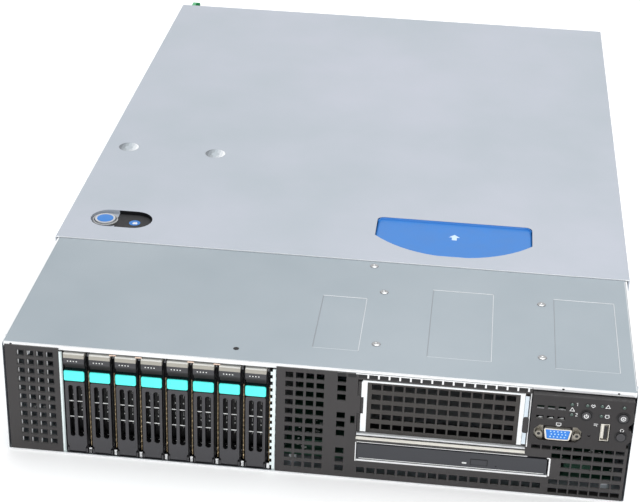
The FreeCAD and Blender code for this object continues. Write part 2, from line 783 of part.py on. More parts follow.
def drive_handle(centre):
    """Lever with two long slots and a stiffening spine; its neck leads down to two six-sided pins."""
    left, right = centre - handle_width / 2, centre + handle_width / 2
    y_low = front_y - handle_proud
    y_high = y_low + handle_thickness
    plate = block(left, right, y_low, y_high, pivot_z + neck_height, handle_top)
    plate = plate.makeChamfer(0.9, edges_along(plate, along_y, lambda p: True))
    neck_half = carrier_width / 2 - cheek_width - running_gap
    neck = block(centre - neck_half, centre + neck_half, y_low, y_high, handle_bottom,
                 pivot_z + neck_height + 1)
    neck = neck.makeChamfer(handle_thickness * 0.29, edges_along(neck, along_x, lambda p: p.z < pivot_z))
    pin_half = carrier_width / 2 - 0.2
    pin = sided_rod(Vector(centre - pin_half, pivot_y, pivot_z), along_x * (2 * pin_half), along_z,
                    pivot_pin_radius, 6)
    slots = [upright_slot(centre + x, width, y_low - 1, y_high + 1, handle_slot_bottom, handle_slot_top)
             for x, width in handle_slots]
    spine = block(centre - handle_spine_width / 2, centre + handle_spine_width / 2, y_high - 0.2,
                  y_high + handle_spine, handle_slot_bottom, handle_slot_top)
    return join([plate.cut(slots), neck, pin, spine])


def drive_latch(centre):
    """Coloured push latch above the lever, on a stem that slides through the bezel plate."""
    left, right = centre - carrier_width / 2, centre + carrier_width / 2
    y_low = front_y - latch_proud
    y_high = front_y + bezel_back - latch_travel - running_gap
    pad = block(left, right, y_low, y_high, latch_bottom, latch_top)
    pad = pad.makeChamfer(0.8, edges_along(pad, along_y, lambda p: True))
    middle = (latch_bottom + latch_top) / 2
    stem = block(centre - latch_stem_width / 2, centre + latch_stem_width / 2, y_high - 1,
                 front_y + bezel_back + bezel_plate + 1.5,
                 middle - latch_stem_height / 2, middle + latch_stem_height / 2)
    return join([pad, stem])


def make_carriers():
    for index, centre in enumerate(carrier_centres()):
        number = str(index + 1)
        write("drive_carrier_" + number, carrier_frame(centre), carrier_drive(centre))
        write("drive_handle_" + number, drive_handle(centre))
        write("drive_latch_" + number, drive_latch(centre))


# ================================================================== front fascia
def make_front_fascia():
    """Painted sheet around the bays: an L of plate with grids of square holes and folded rims."""
    y_low, y_high = front_y, front_y + fascia_steel
    low_top = control_bottom - running_gap
    right_edge = control_left - running_gap
    outline = [(fascia_left, y_low, fascia_bottom), (fascia_right, y_low, fascia_bottom),
               (fascia_right, y_low, low_top), (right_edge, y_low, low_top), (right_edge, y_low, fascia_top),
               (fascia_left, y_low, fascia_top)]
    plate = prism(outline, (0, fascia_steel, 0))
    top_strip = block(fascia_left, fascia_left + notch_inset, y_low, y_high, fascia_top, vent_panel_top)
    rims = [block(fascia_left, fascia_left + fascia_steel, y_low, y_low + fascia_return, fascia_bottom,
                  fascia_top - 3),
            block(fascia_right - fascia_steel, fascia_right, y_low, y_low + fascia_return, fascia_bottom,
                  low_top),
            block(fascia_left, fascia_right, y_low, y_low + fascia_return, tray_steel,
                  tray_steel + fascia_steel)]
    cut_low, cut_high = y_low - 1, y_high + 1
    holes = hole_grid(fascia_left + fascia_grid_inset, fascia_x_pitch, vent_columns, fascia_grid_bottom_row,
                      fascia_z_pitch, vent_rows, fascia_hole_width, fascia_hole_height, cut_low, cut_high)
    holes += hole_grid(fascia_left + hole_column_inset, 0, 1, fascia_grid_bottom_row, fascia_z_pitch,
                       hole_column_rows, 5.8, 5.2, cut_low, cut_high)
    holes += hole_grid(bottom_row_left, bottom_row_pitch, bottom_row_count,
                       bottom_row_z + bottom_row_height, 0, 1, notch_width, bottom_row_height, cut_low, cut_high)
    holes.append(block(fascia_left + 50.2, fascia_left + 53.2, cut_low, cut_high, 45.2, 51.6))
    holes += lower_right_grille(cut_low, cut_high)
    holes.append(bay_window(cut_low, cut_high))
    holes.append(block(optical_left - 0.4, optical_right + 0.8, cut_low, cut_high,
                       optical_opening_bottom, optical_opening_top))
    write("front_fascia", join([plate, top_strip] + rims).cut(holes))


def bay_window(cut_low, cut_high):
    """The 3.5-inch bay's window, narrowed by a tab at its left and one at its right."""
    window = block(bay_left, bay_right, cut_low, cut_high, bay_bottom, bay_top)
    left_tab = block(bay_left - 1, bay_left + 2, cut_low, cut_high, 54, 68)
    right_tab = rounded_y(bay_right - 2.4, bay_right + 4, cut_low, cut_high, 50, 62, 1.5)
    return window.cut([left_tab, right_tab])


def grille_hole_is_clear(left, bottom, top):
    """Whether a hole of the lower right grille keeps clear of the optical opening and the bottom row."""
    if bottom > optical_opening_top:
        return True
    beside = optical_opening_bottom < bottom and top < optical_opening_top
    return left > max(optical_right, bottom_row_right) + (grille_margin if beside else 0)


def lower_right_grille(cut_low, cut_high):
    """Square holes under the control panel, stepped round the optical drive's corner."""
    holes = []
    for column in range(grille_columns):
        left = grille_left + column * grille_x_pitch
        for row in range(grille_rows):
            top = grille_lowest_top + row * grille_z_pitch
            if grille_hole_is_clear(left, top - grille_hole_height, top):
                holes.append(block(left, left + grille_hole_width, cut_low, cut_high,
                                   top - grille_hole_height, top))
    return holes


# ================================================================== media bay
def make_media_bay():
    """Folded shelf for the optical drive, the 3.5-inch bay above it, and flanges under the top panel."""
    y_low, y_high = front_y + panel_flange_setback + sheet + running_gap, front_y + bay_depth
    left = optical_left - 1.4
    right = optical_right + 1.4
    under_panel = panel_top - sheet
    shelf = block(left - sheet, right + sheet, y_low, y_high, shelf_top - sheet, shelf_top)
    lip = block(optical_left - 3, optical_right + 3, y_low - 1.2, y_low + 0.2, shelf_top - 3, shelf_top)
    left_wall = block(left - sheet, left, y_low, y_high, shelf_top - sheet, under_panel)
    right_wall = block(right, right + sheet, y_low, y_high, shelf_top - sheet, middle_shelf_bottom + sheet)
    middle = block(left - sheet, max(right + sheet, bay_wall_right), y_low, y_high,
                   middle_shelf_bottom, middle_shelf_bottom + sheet)
    upper_right = block(bay_wall_right - sheet, bay_wall_right, y_low, y_high, middle_shelf_bottom,
                        under_panel)
    flange_front = front_y + 20
    left_flange = block(left - sheet, left + bay_flange_width, flange_front, y_high, under_panel - sheet,
                        under_panel)
    right_flange = block(bay_wall_right - sheet, bay_wall_right + bay_flange_width, flange_front, y_high,
                         under_panel - sheet, under_panel)
    bay = join([shelf, lip, left_wall, right_wall, middle, upper_right, left_flange, right_flange])
    feet = [block(x, x + sheet, interface_rear + 3, y_high - 5, tray_steel, shelf_top - sheet)
            for x in (left - sheet, right)]
    write("media_bay", join([bay] + feet))


def make_bay_filler():
    """Bare metal filler for the 3.5-inch bay: punched face, raised side strips, top lip and sill."""
    left, right = bay_left + running_gap, bay_right - running_gap
    bottom, top = bay_bottom + running_gap, bay_top - running_gap
    y_low = front_y + fascia_steel + running_gap
    plate = block(left, right, y_low, y_low + sheet, bottom, top)
    y_rear = y_low + filler_depth
    returns = [block(left + 1, right - 1, y_low, y_rear, top - sheet, top),
               block(left + 1, right - 1, y_low, y_rear, bottom, bottom + sheet),
               block(left, left + sheet, y_low, y_rear, bottom, top),
               block(right - sheet, right, y_low, y_rear, bottom, top)]
    lip = block(left + 3, right - 3, front_y - 0.6, y_low + 0.2, top - 1.2, top)
    tab_low, tab_high = 54 - running_gap, 68 + running_gap
    strips = [block(left, left + filler_strip, front_y + 0.2, y_low + 0.2, tab_high, top - 1.5),
              block(left + 2.2, left + filler_strip, front_y + 0.2, y_low + 0.2, tab_low - 1, tab_high + 1),
              block(left, left + filler_strip, front_y + 0.2, y_low + 0.2, bottom + 2.5, tab_low),
              block(right - filler_strip, right - 3.0, front_y + 0.2, y_low + 0.2, bottom + 2.5, top - 1.5)]
    sill_front = front_y - sill_proud
    sill_points = [(left, y_low + 0.5, bottom), (left, y_low + 0.5, bottom + 1.0),
                   (left, front_y - 0.5, bottom + 1.0),
                   (left, sill_front, bottom + 1.0 - sill_drop), (left, sill_front, bottom - 0.9 - sill_drop),
                   (left, sill_front + 0.9, bottom - 0.9 - sill_drop), (left, sill_front + 0.9,
                                                                        bottom - 0.2 - sill_drop),
                   (left, front_y - 0.5, bottom)]
    sill = prism(sill_points, (right - left, 0, 0))
    centre = (left + right) / 2
    first = centre - ((filler_columns - 1) * filler_x_pitch + filler_hole_width) / 2
    holes = hole_grid(first, filler_x_pitch, filler_columns, bay_bottom + 8.9, filler_z_pitch, filler_rows,
                      filler_hole_width, filler_hole_height, y_low - 0.05, y_low + sheet + 0.05)
    write("bay_filler", join([plate.cut(holes), lip, sill] + returns + strips))


# ================================================================== optical drive
def make_optical_drive_case():
    """Thin steel case, open at the front for the tray."""
    outer = block(optical_left, optical_right, front_y + optical_case_front,
                  front_y + optical_case_front + optical_length,
                  optical_bottom, optical_bottom + optical_height - 0.4)
    wall = optical_case_sheet
    inner = block(optical_left + wall, optical_right - wall, front_y,
                  front_y + optical_case_front + optical_length - wall,
                  optical_bottom + wall, optical_bottom + optical_height - 0.4 - wall)
    write("optical_drive_case", outer.cut(inner))


def make_optical_tray():
    """Tray with its bezel, the round disc recess, the spindle and the pick-up slot."""
    wall = optical_case_sheet + running_gap
    y_bezel = front_y - 0.2
    bezel = block(optical_left, optical_right, y_bezel, y_bezel + bezel_thickness,
                  optical_bottom, optical_bottom + optical_height)
    bezel = bezel.makeChamfer(0.6, edges_along(bezel, along_y, lambda p: True))
    tray_front = y_bezel + bezel_thickness
    tray_rear = front_y + optical_case_front + optical_length - 4
    floor = optical_bottom + wall
    body = block(optical_left + wall, optical_right - wall, tray_front - 0.2, tray_rear, floor, floor + 8)
    disc_x = (optical_left + optical_right) / 2
    disc_y = tray_front + disc_radius + 1.2
    recess = sided_rod(Vector(disc_x, disc_y, floor + 4.5), along_z * 5, along_x, disc_radius, disc_sides)
    slot = block(disc_x - 8, disc_x + 8, disc_y + 12, disc_y + 44, floor - 1, floor + 9)
    spindle = sided_rod(Vector(disc_x, disc_y, floor + 4), along_z * 2.6, along_x, spindle_radius,
                        shaft_sides)
    eject = eject_cutter(y_bezel)
    write("optical_tray", join([join([bezel, body]).cut([recess, slot, eject]), spindle]))


def eject_box(y_low, y_high, grow):
    left = optical_left + eject_left - grow
    bottom = optical_bottom + eject_bottom - grow
    return block(left, left + eject_width + 2 * grow, y_low, y_high, bottom, bottom + eject_height + 2 * grow)


def eject_cutter(y_bezel):
    return eject_box(y_bezel - 1, y_bezel + 5.0, running_gap)


def make_optical_eject_button():
    y_bezel = front_y - 0.2
    body = eject_box(y_bezel - 0.3, y_bezel + 5.0 - eject_travel - 0.2, 0)
    write("optical_eject_button", body.makeChamfer(0.5, edges_along(body, along_y, lambda p: True)))


# ================================================================== control panel
def control_outline(y_low, y_high):
    """The panel's outline: a rectangle whose right edge swells round the two outer buttons."""
    pieces = [block(control_left, control_right - control_edge_step, y_low, y_high, control_bottom,
                    control_top),
              block(control_left, control_right, y_low, y_high, control_top - control_shoulder, control_top)]
    for name in ("id_button", "reset_button"):
        distance, z = button_places[name][:2]
        base = Vector(control_right - distance, y_low, z)
        pieces.append(sided_rod(base, along_y * (y_high - y_low), along_x, scallop_radius, round_sides))
    return join(pieces)


def make_control_panel():
    """Moulded shell with button rings, light holes, socket windows and four bosses for its board."""
    y_front = front_y - control_proud
    inner_front = y_front + control_wall
    shell = control_outline(y_front, front_y + control_rear)
    hollows = [block(control_left + control_wall, control_right - control_edge_step - control_wall,
                     inner_front,
                     front_y + control_rear + 1, control_bottom + control_wall, control_top - control_wall)]
    for name in ("id_button", "reset_button"):
        distance, z, radius = button_places[name]
        x = control_right - distance
        hollows.append(block(x - collar_room_x, x + collar_room_x, inner_front, front_y + control_rear + 1,
                             z - collar_room_z, z + collar_room_z))
    shell = shell.cut(hollows)
    cut_low, cut_high = y_front - 1, inner_front + 1
    bosses = [block(control_right - x - panel_boss_half, control_right - x + panel_boss_half,
                    inner_front - 0.2,
                    front_y + control_board_front, z - panel_boss_half, z + panel_boss_half)
              for x, z in panel_boss_places]
    cutters = [button_rod(name, 0, cut_low, cut_high) for name in button_places]
    slot_left = control_left + 3.1
    cutters += hole_grid(slot_left, 7.0, 3, 67.4, 7.9, 2, 4.8, 2.5, cut_low, cut_high)
    centre = control_right - video_x
    window_half = jackscrew_half_spacing + 3.2
    window = block(centre - window_half, centre + window_half, cut_low, cut_high, video_z - 5.9,
                   video_z + 5.9)
    cutters.append(window.makeChamfer(3.4, edges_along(window, along_y, lambda p: True)))
    usb_centre = control_right - usb_x
    grow = running_gap + 0.2
    cutters.append(block(usb_centre - usb_shell_width / 2 - grow, usb_centre + usb_shell_width / 2 + grow,
                         cut_low, cut_high,
                         usb_z - usb_shell_height / 2 - grow, usb_z + usb_shell_height / 2 + grow))
    write("control_panel", join([shell] + bosses).cut(cutters))


def button_rod(name, clearance, y_low, y_high):
    """A button's round cross-section, less a clearance; the small recessed one has few flats."""
    distance, z, radius = button_places[name]
    base = Vector(control_right - distance, y_low, z)
    sides = pinhole_sides if radius < 2 else round_sides
    return sided_rod(base, along_y * (y_high - y_low), along_x, radius - clearance, sides)


def panel_button(name, crown):
    """A cap with a flat collar behind the panel's wall and a square stem towards its switch."""
    distance, z, radius = button_places[name]
    x = control_right - distance
    inner_front = front_y - control_proud + control_wall
    cap = button_rod(name, running_gap, front_y - control_proud - crown, inner_front + 1)
    reach = radius + collar_reach
    rise = radius - running_gap
    collar = block(x - reach, x + reach, inner_front + running_gap, inner_front + running_gap + 1.2,
                   z - rise, z + rise)
    switch_front = front_y + control_board_front - switch_depth
    stem = block(x - 1, x + 1, inner_front + 1, switch_front - button_travel - running_gap, z - 1, z + 1)
    write(name, join([cap, collar, stem]))


def make_buttons():
    panel_button("power_button", button_proud)
    panel_button("id_button", button_proud)
    panel_button("reset_button", button_proud)
    panel_button("nmi_button", -0.8)


def make_control_board():
    """Board behind the panel with a switch for each button."""
    y_low = front_y + control_board_front
    board = block(control_left + 2, control_right - 1.5, y_low, y_low + board_thickness,
                  control_bottom + 1.8, control_top - 1.5)
    switches = [block(control_right - distance - 2, control_right - distance + 2, y_low - switch_depth,
                      y_low, z - 2, z + 2)
                for distance, z, radius in button_places.values()]
    write("control_board", join([board] + switches))


# ================================================================== sockets
def d_outline(centre, middle_z, width, height, y):
    """Corners of the trapezium of a D-shaped connector, wider at its top."""
    half, lean = width / 2, height * 0.18
    z_low, z_high = middle_z - height / 2, middle_z + height / 2
    return [(centre - half + lean, y, z_low), (centre + half - lean, y, z_low),
            (centre + half, y, z_high), (centre - half, y, z_high)]


def d_socket(centre, middle_z, mouth_y, flange_y, body_y, shell_width):
    """D-shell, flange, insert and two hexagonal jackscrews; it faces the way from flange to mouth."""
    way = 1 if mouth_y > flange_y else -1
    reach = mouth_y - flange_y
    shell = prism(d_outline(centre, middle_z, shell_width, 8.6, flange_y), (0, reach, 0))
    shell = shell.makeChamfer(1.0, edges_along(shell, along_y, lambda p: True))
    hollow = prism(d_outline(centre, middle_z, shell_width - 1, 7.6, flange_y + way * 0.5), (0, reach, 0))
    half_flange = jackscrew_half_spacing + 3.0
    flange = block(centre - half_flange, centre + half_flange, min(flange_y, flange_y + way * 0.8),
                   max(flange_y, flange_y + way * 0.8), middle_z - 6.2, middle_z + 6.2)
    metal = join([flange, shell]).cut(hollow)
    insert = prism(d_outline(centre, middle_z, shell_width - 2, 6.6, flange_y + way * 0.5),
                   (0, reach - way * 1.1, 0))
    body = block(centre - 12, centre + 12, min(flange_y, body_y), max(flange_y, body_y), middle_z - 5.4,
                 middle_z + 5.4)
    screws = []
    for side in (-1, 1):
        x = centre + side * jackscrew_half_spacing
        nut = Part.Face(Part.makePolygon([Vector(x + 2.5 * math.cos(a * math.pi / 3), flange_y + way * 0.8,
                                                 middle_z + 2.5 * math.sin(a * math.pi / 3)) for a in range(7)]))
        screws.append(nut.extrude(Vector(0, way * 3.4, 0)))
    return [join([metal, insert, body])] + screws


def make_video_socket():
    inner_front = front_y - control_proud + control_wall
    write("video_socket", *d_socket(control_right - video_x, video_z, front_y - control_proud - 1.2,
                                    inner_front + running_gap + 0.8, front_y + control_board_front, 17.4))


def usb_socket(centre, middle_z, mouth_y, rear_y_end):
    """Upright metal shell with a plastic tongue and a closed rear block."""
    y_low, y_high = min(mouth_y, rear_y_end), max(mouth_y, rear_y_end)
    way = 1 if rear_y_end > mouth_y else -1
    outer = block(centre - usb_shell_width / 2, centre + usb_shell_width / 2, y_low, y_high,
                  middle_z - usb_shell_height / 2, middle_z + usb_shell_height / 2)
    depth_end = mouth_y + way * 9
    hollow = block(centre - usb_shell_width / 2 + 0.35, centre + usb_shell_width / 2 - 0.35,
                   min(mouth_y - way, depth_end),
                   max(mouth_y - way, depth_end), middle_z - usb_shell_height / 2 + 0.35, middle_z + usb_shell_height / 2 - 0.35)
    tongue_mouth = mouth_y + way * 1.2
    tongue = block(centre - 2.2, centre - 0.3, min(tongue_mouth, depth_end + way),
                   max(tongue_mouth, depth_end + way),
                   middle_z - 5.4, middle_z + 5.4)
    return join([outer.cut(hollow), tongue])


def make_usb_socket():
    write("usb_socket", usb_socket(control_right - usb_x, usb_z, front_y - control_proud + 0.5,
                                   front_y + control_board_front))


def lan_socket(left):
    """Metal-cased network socket: a box cavity with the latch notch in its floor."""
    bottom = board_top
    shell = block(left, left + lan_width, lan_mouth - 21, lan_mouth, bottom, bottom + lan_height)
    centre = left + lan_width / 2
    cavity = block(centre - 5.9, centre + 5.9, lan_mouth - 13, lan_mouth + 1, bottom + 3.4, bottom + 11.4)
    notch = block(centre - 3.1, centre + 3.1, lan_mouth - 10, lan_mouth + 1, bottom + 1.6, bottom + 3.5)
    return shell.cut([cavity, notch])


def make_rear_sockets():
    """Network, USB, video and serial sockets on the system board's rear edge."""
    solids = [lan_socket(lan_left + index * lan_pitch) for index in range(lan_count)]
    d_z = board_top + 6.4
    usb_rear = lan_left + lan_count * lan_pitch + 6
    solids += [usb_socket(usb_rear + index * 8.5, board_top + usb_shell_height / 2, rear_y + 0.6,
                          rear_y - 18) for index in range(2)]
    for centre in (usb_rear + 34, usb_rear + 68):
        solids += d_socket(centre, d_z, rear_y + 2.0, rear_wall_front - 0.9, rear_wall_front - 14, 17.4)
    write("rear_sockets", *solids)


# ================================================================== boards and what stands on them
def make_interface_board():
    """Board on the floor behind the fascia, with cable connectors along its front edge."""
    board = block(interface_left, interface_right, interface_front, interface_rear, board_bottom, board_top)
    parts = []
    for index in range(6):
        x = interface_left + 14 + index * 34
        if index == 5:
            x = interface_right - 34
        parts.append(block(x, x + 18, interface_front + 8, interface_front + 14, board_top, board_top + 6))
    write("interface_board", join([board] + parts))


def make_system_board():
    """Main board with its sockets, two riser cards and the power supplies' connector board."""
    board = block(board_left, board_right, board_front, board_rear, board_bottom, board_top)
    pieces = [board]
    for x, y in heat_sink_places:
        pieces.append(block(x - processor_half, x + processor_half, y - processor_half, y + processor_half,
                            board_top, board_top + cpu_height))
    for index in range(memory_count):
        x = memory_first_x + index * memory_pitch
        socket = block(x - 2.6, x + 2.6, memory_front - 4, memory_front + memory_length + 4, board_top,
                       board_top + memory_socket_height)
        slot = block(x - 0.65, x + 0.65, memory_front, memory_front + memory_length, board_top + 1.5,
                     board_top + 10)
        pieces.append(socket.cut(slot))
    risers = [block(x, x + board_thickness, riser_front, riser_rear, board_top, riser_top)
              for x in riser_places]
    supply_end = rear_y - psu_length
    supply_board_rear = supply_end - supply_board_gap
    distribution = block(psu_left, psu_right - 2, supply_board_rear - board_thickness, supply_board_rear,
                         tray_steel, riser_top)
    plugs = [block(psu_left + 20, psu_left + 75, supply_board_rear, supply_end - running_gap, z + 10, z + 26)
             for z in (psu_lower_bottom, psu_upper_bottom)]
    write("system_board", join(pieces), join([distribution] + plugs), *risers)


def make_heat_sinks():
    """Finned coolers on the processors, with their fins along the air stream."""
    sinks = []
    for x, y in heat_sink_places:
        half = heat_sink_size / 2
        bottom = board_top + cpu_height
        fins = []
        for index in range(fin_count):
            left = x - half + index * (heat_sink_size - fin_sheet) / (fin_count - 1)
            fins.append(block(left, left + fin_sheet, y - half, y + half, bottom, heat_sink_top))
        base = block(x - half, x + half, y - half, y + half, bottom, bottom + heat_sink_base)
        sinks.append(join([base] + fins))
    write("heat_sinks", *sinks)


def make_memory_modules():
    modules = []
    for index in range(memory_count):
        x = memory_first_x + index * memory_pitch
        bottom = board_top + 1.5
        card = block(x - 0.6, x + 0.6, memory_front + 0.2, memory_front + memory_length - 0.2, bottom,
                     bottom + memory_height)
        chips = block(x - 2.0, x + 2.0, memory_front + 12, memory_front + memory_length - 12, bottom + 10,
                      bottom + memory_height - 6)
        modules.append(join([card, chips]))
    write("memory_modules", *modules)


def make_slot_covers():
    """Blank covers inside the rear wall, each with a vent slot and a bent end tab."""
    covers = []
    y_high = rear_wall_front
    for left, length, bottom in slot_rows():
        plate = block(left, left + length, y_high - sheet, y_high, bottom, bottom + slot_cover_height)
        tab = block(left, left + sheet, y_high - 10, y_high, bottom, bottom + slot_cover_height)
        slot = block(left + 14, left + length - 14, y_high - 3, y_high + 1, bottom + 7.5, bottom + 10.9)
        covers.append(join([plate, tab]).cut(slot))
    write("slot_covers", *covers)


# ================================================================== fans
def fan_centres():
    return [fan_first_x + index * fan_pitch for index in range(fan_count)]


def make_fan_bank():
    """Square fan housings with a round bore, two arms, a square motor base and its shaft."""
    y_low = front_y + fan_front
    y_high = y_low + fan_depth
    frames = []
    for x in fan_centres():
        half = fan_size / 2
        frame = block(x - half, x + half, y_low, y_high, tray_steel, tray_steel + fan_size)
        frame = frame.cut(sided_rod(Vector(x, y_low - 1, fan_centre_z), along_y * (fan_depth + 2), along_x,
                                    fan_bore_radius / math.cos(math.pi / round_sides), round_sides))
        base = block(x - motor_half, x + motor_half, y_high - motor_depth, y_high,
                     fan_centre_z - motor_half, fan_centre_z + motor_half)
        arm = block(x - half + 1, x + half - 1, y_high - 5, y_high - 1, fan_centre_z - 2, fan_centre_z + 2)
        shaft = sided_rod(Vector(x, y_high - motor_depth - 18, fan_centre_z), along_y * 19, along_x,
                          fan_shaft_radius, shaft_sides)
        frames.append(join([frame, base, arm, shaft]))
    bracket_top = tray_steel + fan_size
    links = [block(x + fan_size / 2, x + fan_pitch - fan_size / 2, y_low, y_low + sheet, tray_steel,
                   bracket_top)
             for x in fan_centres()[:-1]]
    write("fan_bank", *frames, *links)


def fan_rotor(x):
    """Hub cup with pitched blades trimmed to the bore, turning on the housing's shaft."""
    y_high = front_y + fan_front + fan_depth - motor_depth - 0.5
    y_low = y_high - rotor_depth
    y_middle = (y_low + y_high) / 2
    hub = sided_rod(Vector(x, y_low, fan_centre_z), along_y * rotor_depth, along_x, hub_radius, hub_sides)
    sideways = blade_chord / 2 * math.sin(math.radians(blade_pitch)) + 1
    blade_reach = math.sqrt(blade_tip_radius ** 2 - sideways ** 2)
    axis_point = Vector(x, 0, fan_centre_z)
    blades = []
    for index in range(blade_count):
        blade = block(x - 0.8, x + 0.8, y_middle - blade_chord / 2, y_middle + blade_chord / 2,
                      fan_centre_z + hub_radius - 1, fan_centre_z + blade_reach)
        blade.rotate(Vector(x, y_middle, fan_centre_z), along_z, blade_pitch)
        blade.rotate(axis_point, along_y, index * 360 / blade_count)
        blades.append(blade)
    bore_radius = (fan_shaft_radius + fan_shaft_clearance) / math.cos(math.pi / shaft_sides)
    bore = sided_rod(Vector(x, y_high - 18, fan_centre_z), along_y * 19, along_x, bore_radius, shaft_sides)
    return join([hub] + blades).cut(bore)


def make_fan_rotors():
    for index, x in enumerate(fan_centres()):
        write("fan_rotor_" + str(index + 1), fan_rotor(x))


# ================================================================== power supplies
def psu_case(bottom):
    """Closed case: a hollow sheet box with a thick rear end that holds the inlet, vents and latch slot."""
    top = bottom + psu_height
    y_inner = rear_y - psu_length
    case = block(psu_left, psu_right, y_inner, rear_y, bottom, top)
    void = block(psu_left + psu_sheet, psu_right - psu_sheet, y_inner + psu_sheet, rear_y - psu_rear_block,
                 bottom + psu_sheet, top - psu_sheet)
    middle = bottom + psu_height / 2
    inlet_x = psu_left + inlet_left
    inlet = block(inlet_x, inlet_x + inlet_width, rear_y - inlet_depth, rear_y + 1,
                  middle - inlet_height / 2, middle + inlet_height / 2)
    inlet = inlet.makeChamfer(4.0, edges_along(inlet, along_y, lambda p: p.z < middle))
    pins = []
    for x, z in ((5.2, -2.0), (12.2, 2.0), (19.2, -2.0)):
        pins.append(block(inlet_x + x - 1, inlet_x + x + 1, rear_y - inlet_depth - 1,
                          rear_y - inlet_depth + inlet_pin_length,
                          middle + z - 2, middle + z + 2))
    vents = hole_grid(psu_left + psu_vent_left, 7.2, 4, bottom + 32.6, 0, 1, 5.6, 26.6, rear_y - 4,
                      rear_y + 1)
    slot = latch_box(bottom, running_gap, psu_latch_travel + running_gap, rear_y - 8 - running_gap,
                     rear_y + 1)
    return join([case.cut([void, inlet, slot] + vents)] + pins)


def latch_box(bottom, grow, extra, y_low, y_high):
    """Cross-section of the latch's foot, grown by a clearance and lengthened along its travel."""
    left = psu_left + latch_slot_left
    z_high = bottom + psu_height - 3.0
    return block(left - grow, left + psu_latch_width + extra, y_low, y_high,
                 z_high - psu_latch_height + 4 - grow, z_high - 2 + grow)


def psu_handle(bottom):
    """Fixed upright loop handle on the rear face."""
    left = psu_left + psu_handle_left
    z_low, z_high = bottom + psu_handle_inset, bottom + psu_height - psu_handle_inset
    loop = block(left, left + psu_handle_bar, rear_y, rear_y + psu_handle_proud, z_low, z_high)
    loop = loop.makeChamfer(4.0, edges_along(loop, along_x, lambda p: p.y > rear_y + 1))
    gap = block(left - 1, left + psu_handle_bar + 1, rear_y - 1, rear_y + psu_handle_proud - 4.5,
                z_low + 4.5, z_high - 4.5)
    return loop.cut(gap)


def psu_latch(bottom):
    """Thumb latch beside the handle: a foot in the supply's slot and a tall curved pad."""
    left = psu_left + latch_slot_left
    foot = latch_box(bottom, 0, 0, rear_y - 8, rear_y + 1)
    z_high = bottom + psu_height + psu_latch_rise
    z_low = z_high - psu_latch_height
    stalk = block(left, left + psu_latch_width, rear_y + running_gap, rear_y + psu_latch_proud, z_low, z_high)
    stalk = stalk.makeChamfer(2.4, edges_along(stalk, along_x, lambda p: p.y > rear_y + 5))
    scoop = block(left + 3.5, left + psu_latch_width + 1, rear_y + 3, rear_y + psu_latch_proud - 3.5,
                  z_low - 1, z_high + 1)
    return join([foot, stalk.cut(scoop)])


def make_power_supplies():
    for name, bottom in (("lower", psu_lower_bottom), ("upper", psu_upper_bottom)):
        write("psu_" + name, join([psu_case(bottom), psu_handle(bottom)]))
        write("psu_latch_" + name, psu_latch(bottom))


# ================================================================== everything
make_chassis_tray()
make_top_cover()
make_cover_release_button()
make_front_top_panel()
make_left_vent_panel()
make_drive_cage()
make_drive_backplane()
make_carriers()
make_front_fascia()
make_media_bay()
make_bay_filler()
make_optical_drive_case()
make_optical_tray()
make_optical_eject_button()
make_control_panel()
make_buttons()
make_control_board()
make_video_socket()
make_usb_socket()
make_rear_sockets()
make_interface_board()
make_system_board()
make_heat_sinks()
make_memory_modules()
make_slot_covers()
make_fan_bank()
make_fan_rotors()
make_power_supplies()
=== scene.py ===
import math

import bpy
import numpy as np
from mathutils import Matrix, Vector


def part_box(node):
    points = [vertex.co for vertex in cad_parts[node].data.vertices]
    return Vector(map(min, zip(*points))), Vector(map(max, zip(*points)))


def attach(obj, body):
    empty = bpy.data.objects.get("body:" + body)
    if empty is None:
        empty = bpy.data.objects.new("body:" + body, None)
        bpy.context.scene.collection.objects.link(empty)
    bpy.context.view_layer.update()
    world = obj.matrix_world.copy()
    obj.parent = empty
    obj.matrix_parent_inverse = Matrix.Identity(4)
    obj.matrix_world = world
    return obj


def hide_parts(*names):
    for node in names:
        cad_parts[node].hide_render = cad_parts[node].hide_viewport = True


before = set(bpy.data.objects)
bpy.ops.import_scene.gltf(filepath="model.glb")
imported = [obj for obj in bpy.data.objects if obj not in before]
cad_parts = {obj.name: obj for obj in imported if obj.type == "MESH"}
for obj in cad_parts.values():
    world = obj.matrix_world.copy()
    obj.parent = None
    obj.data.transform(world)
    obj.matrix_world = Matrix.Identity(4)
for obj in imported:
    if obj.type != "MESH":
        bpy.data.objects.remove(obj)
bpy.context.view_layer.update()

mm = 0.001
right, back, up = np.eye(3)


# ------------------------------------------------------------------ chassis tray
# The folded tray, its rear wall and the supply cage. Zinc-coated sheet steel, folded, then riveted.
# Its faces that look to the front and a band along its top edge are painted near-white as highlight.
def wired(tree, kind, settings=None, **inputs):
    """A new node with its settings and inputs; an input is a value or another node's output."""
    node = tree.nodes.new(kind)
    for key, value in (settings or {}).items():
        setattr(node, key, value)
    for key, value in inputs.items():
        socket = node.inputs[int(key[1:])] if key[0] == "i" and key[1:].isdigit() else node.inputs[key.replace("_", " ")]
        if isinstance(value, bpy.types.NodeSocket):
            tree.links.new(value, socket)
        else:
            socket.default_value = value
    return node


def between(tree, value, low, high):
    """1 where low < value < high, else 0."""
    over = wired(tree, "ShaderNodeMath", {"operation": "GREATER_THAN"}, i0=value, i1=low)
    under = wired(tree, "ShaderNodeMath", {"operation": "LESS_THAN"}, i0=value, i1=high)
    return wired(tree, "ShaderNodeMath", {"operation": "MULTIPLY"}, i0=over.outputs[0], i1=under.outputs[0]).outputs[0]


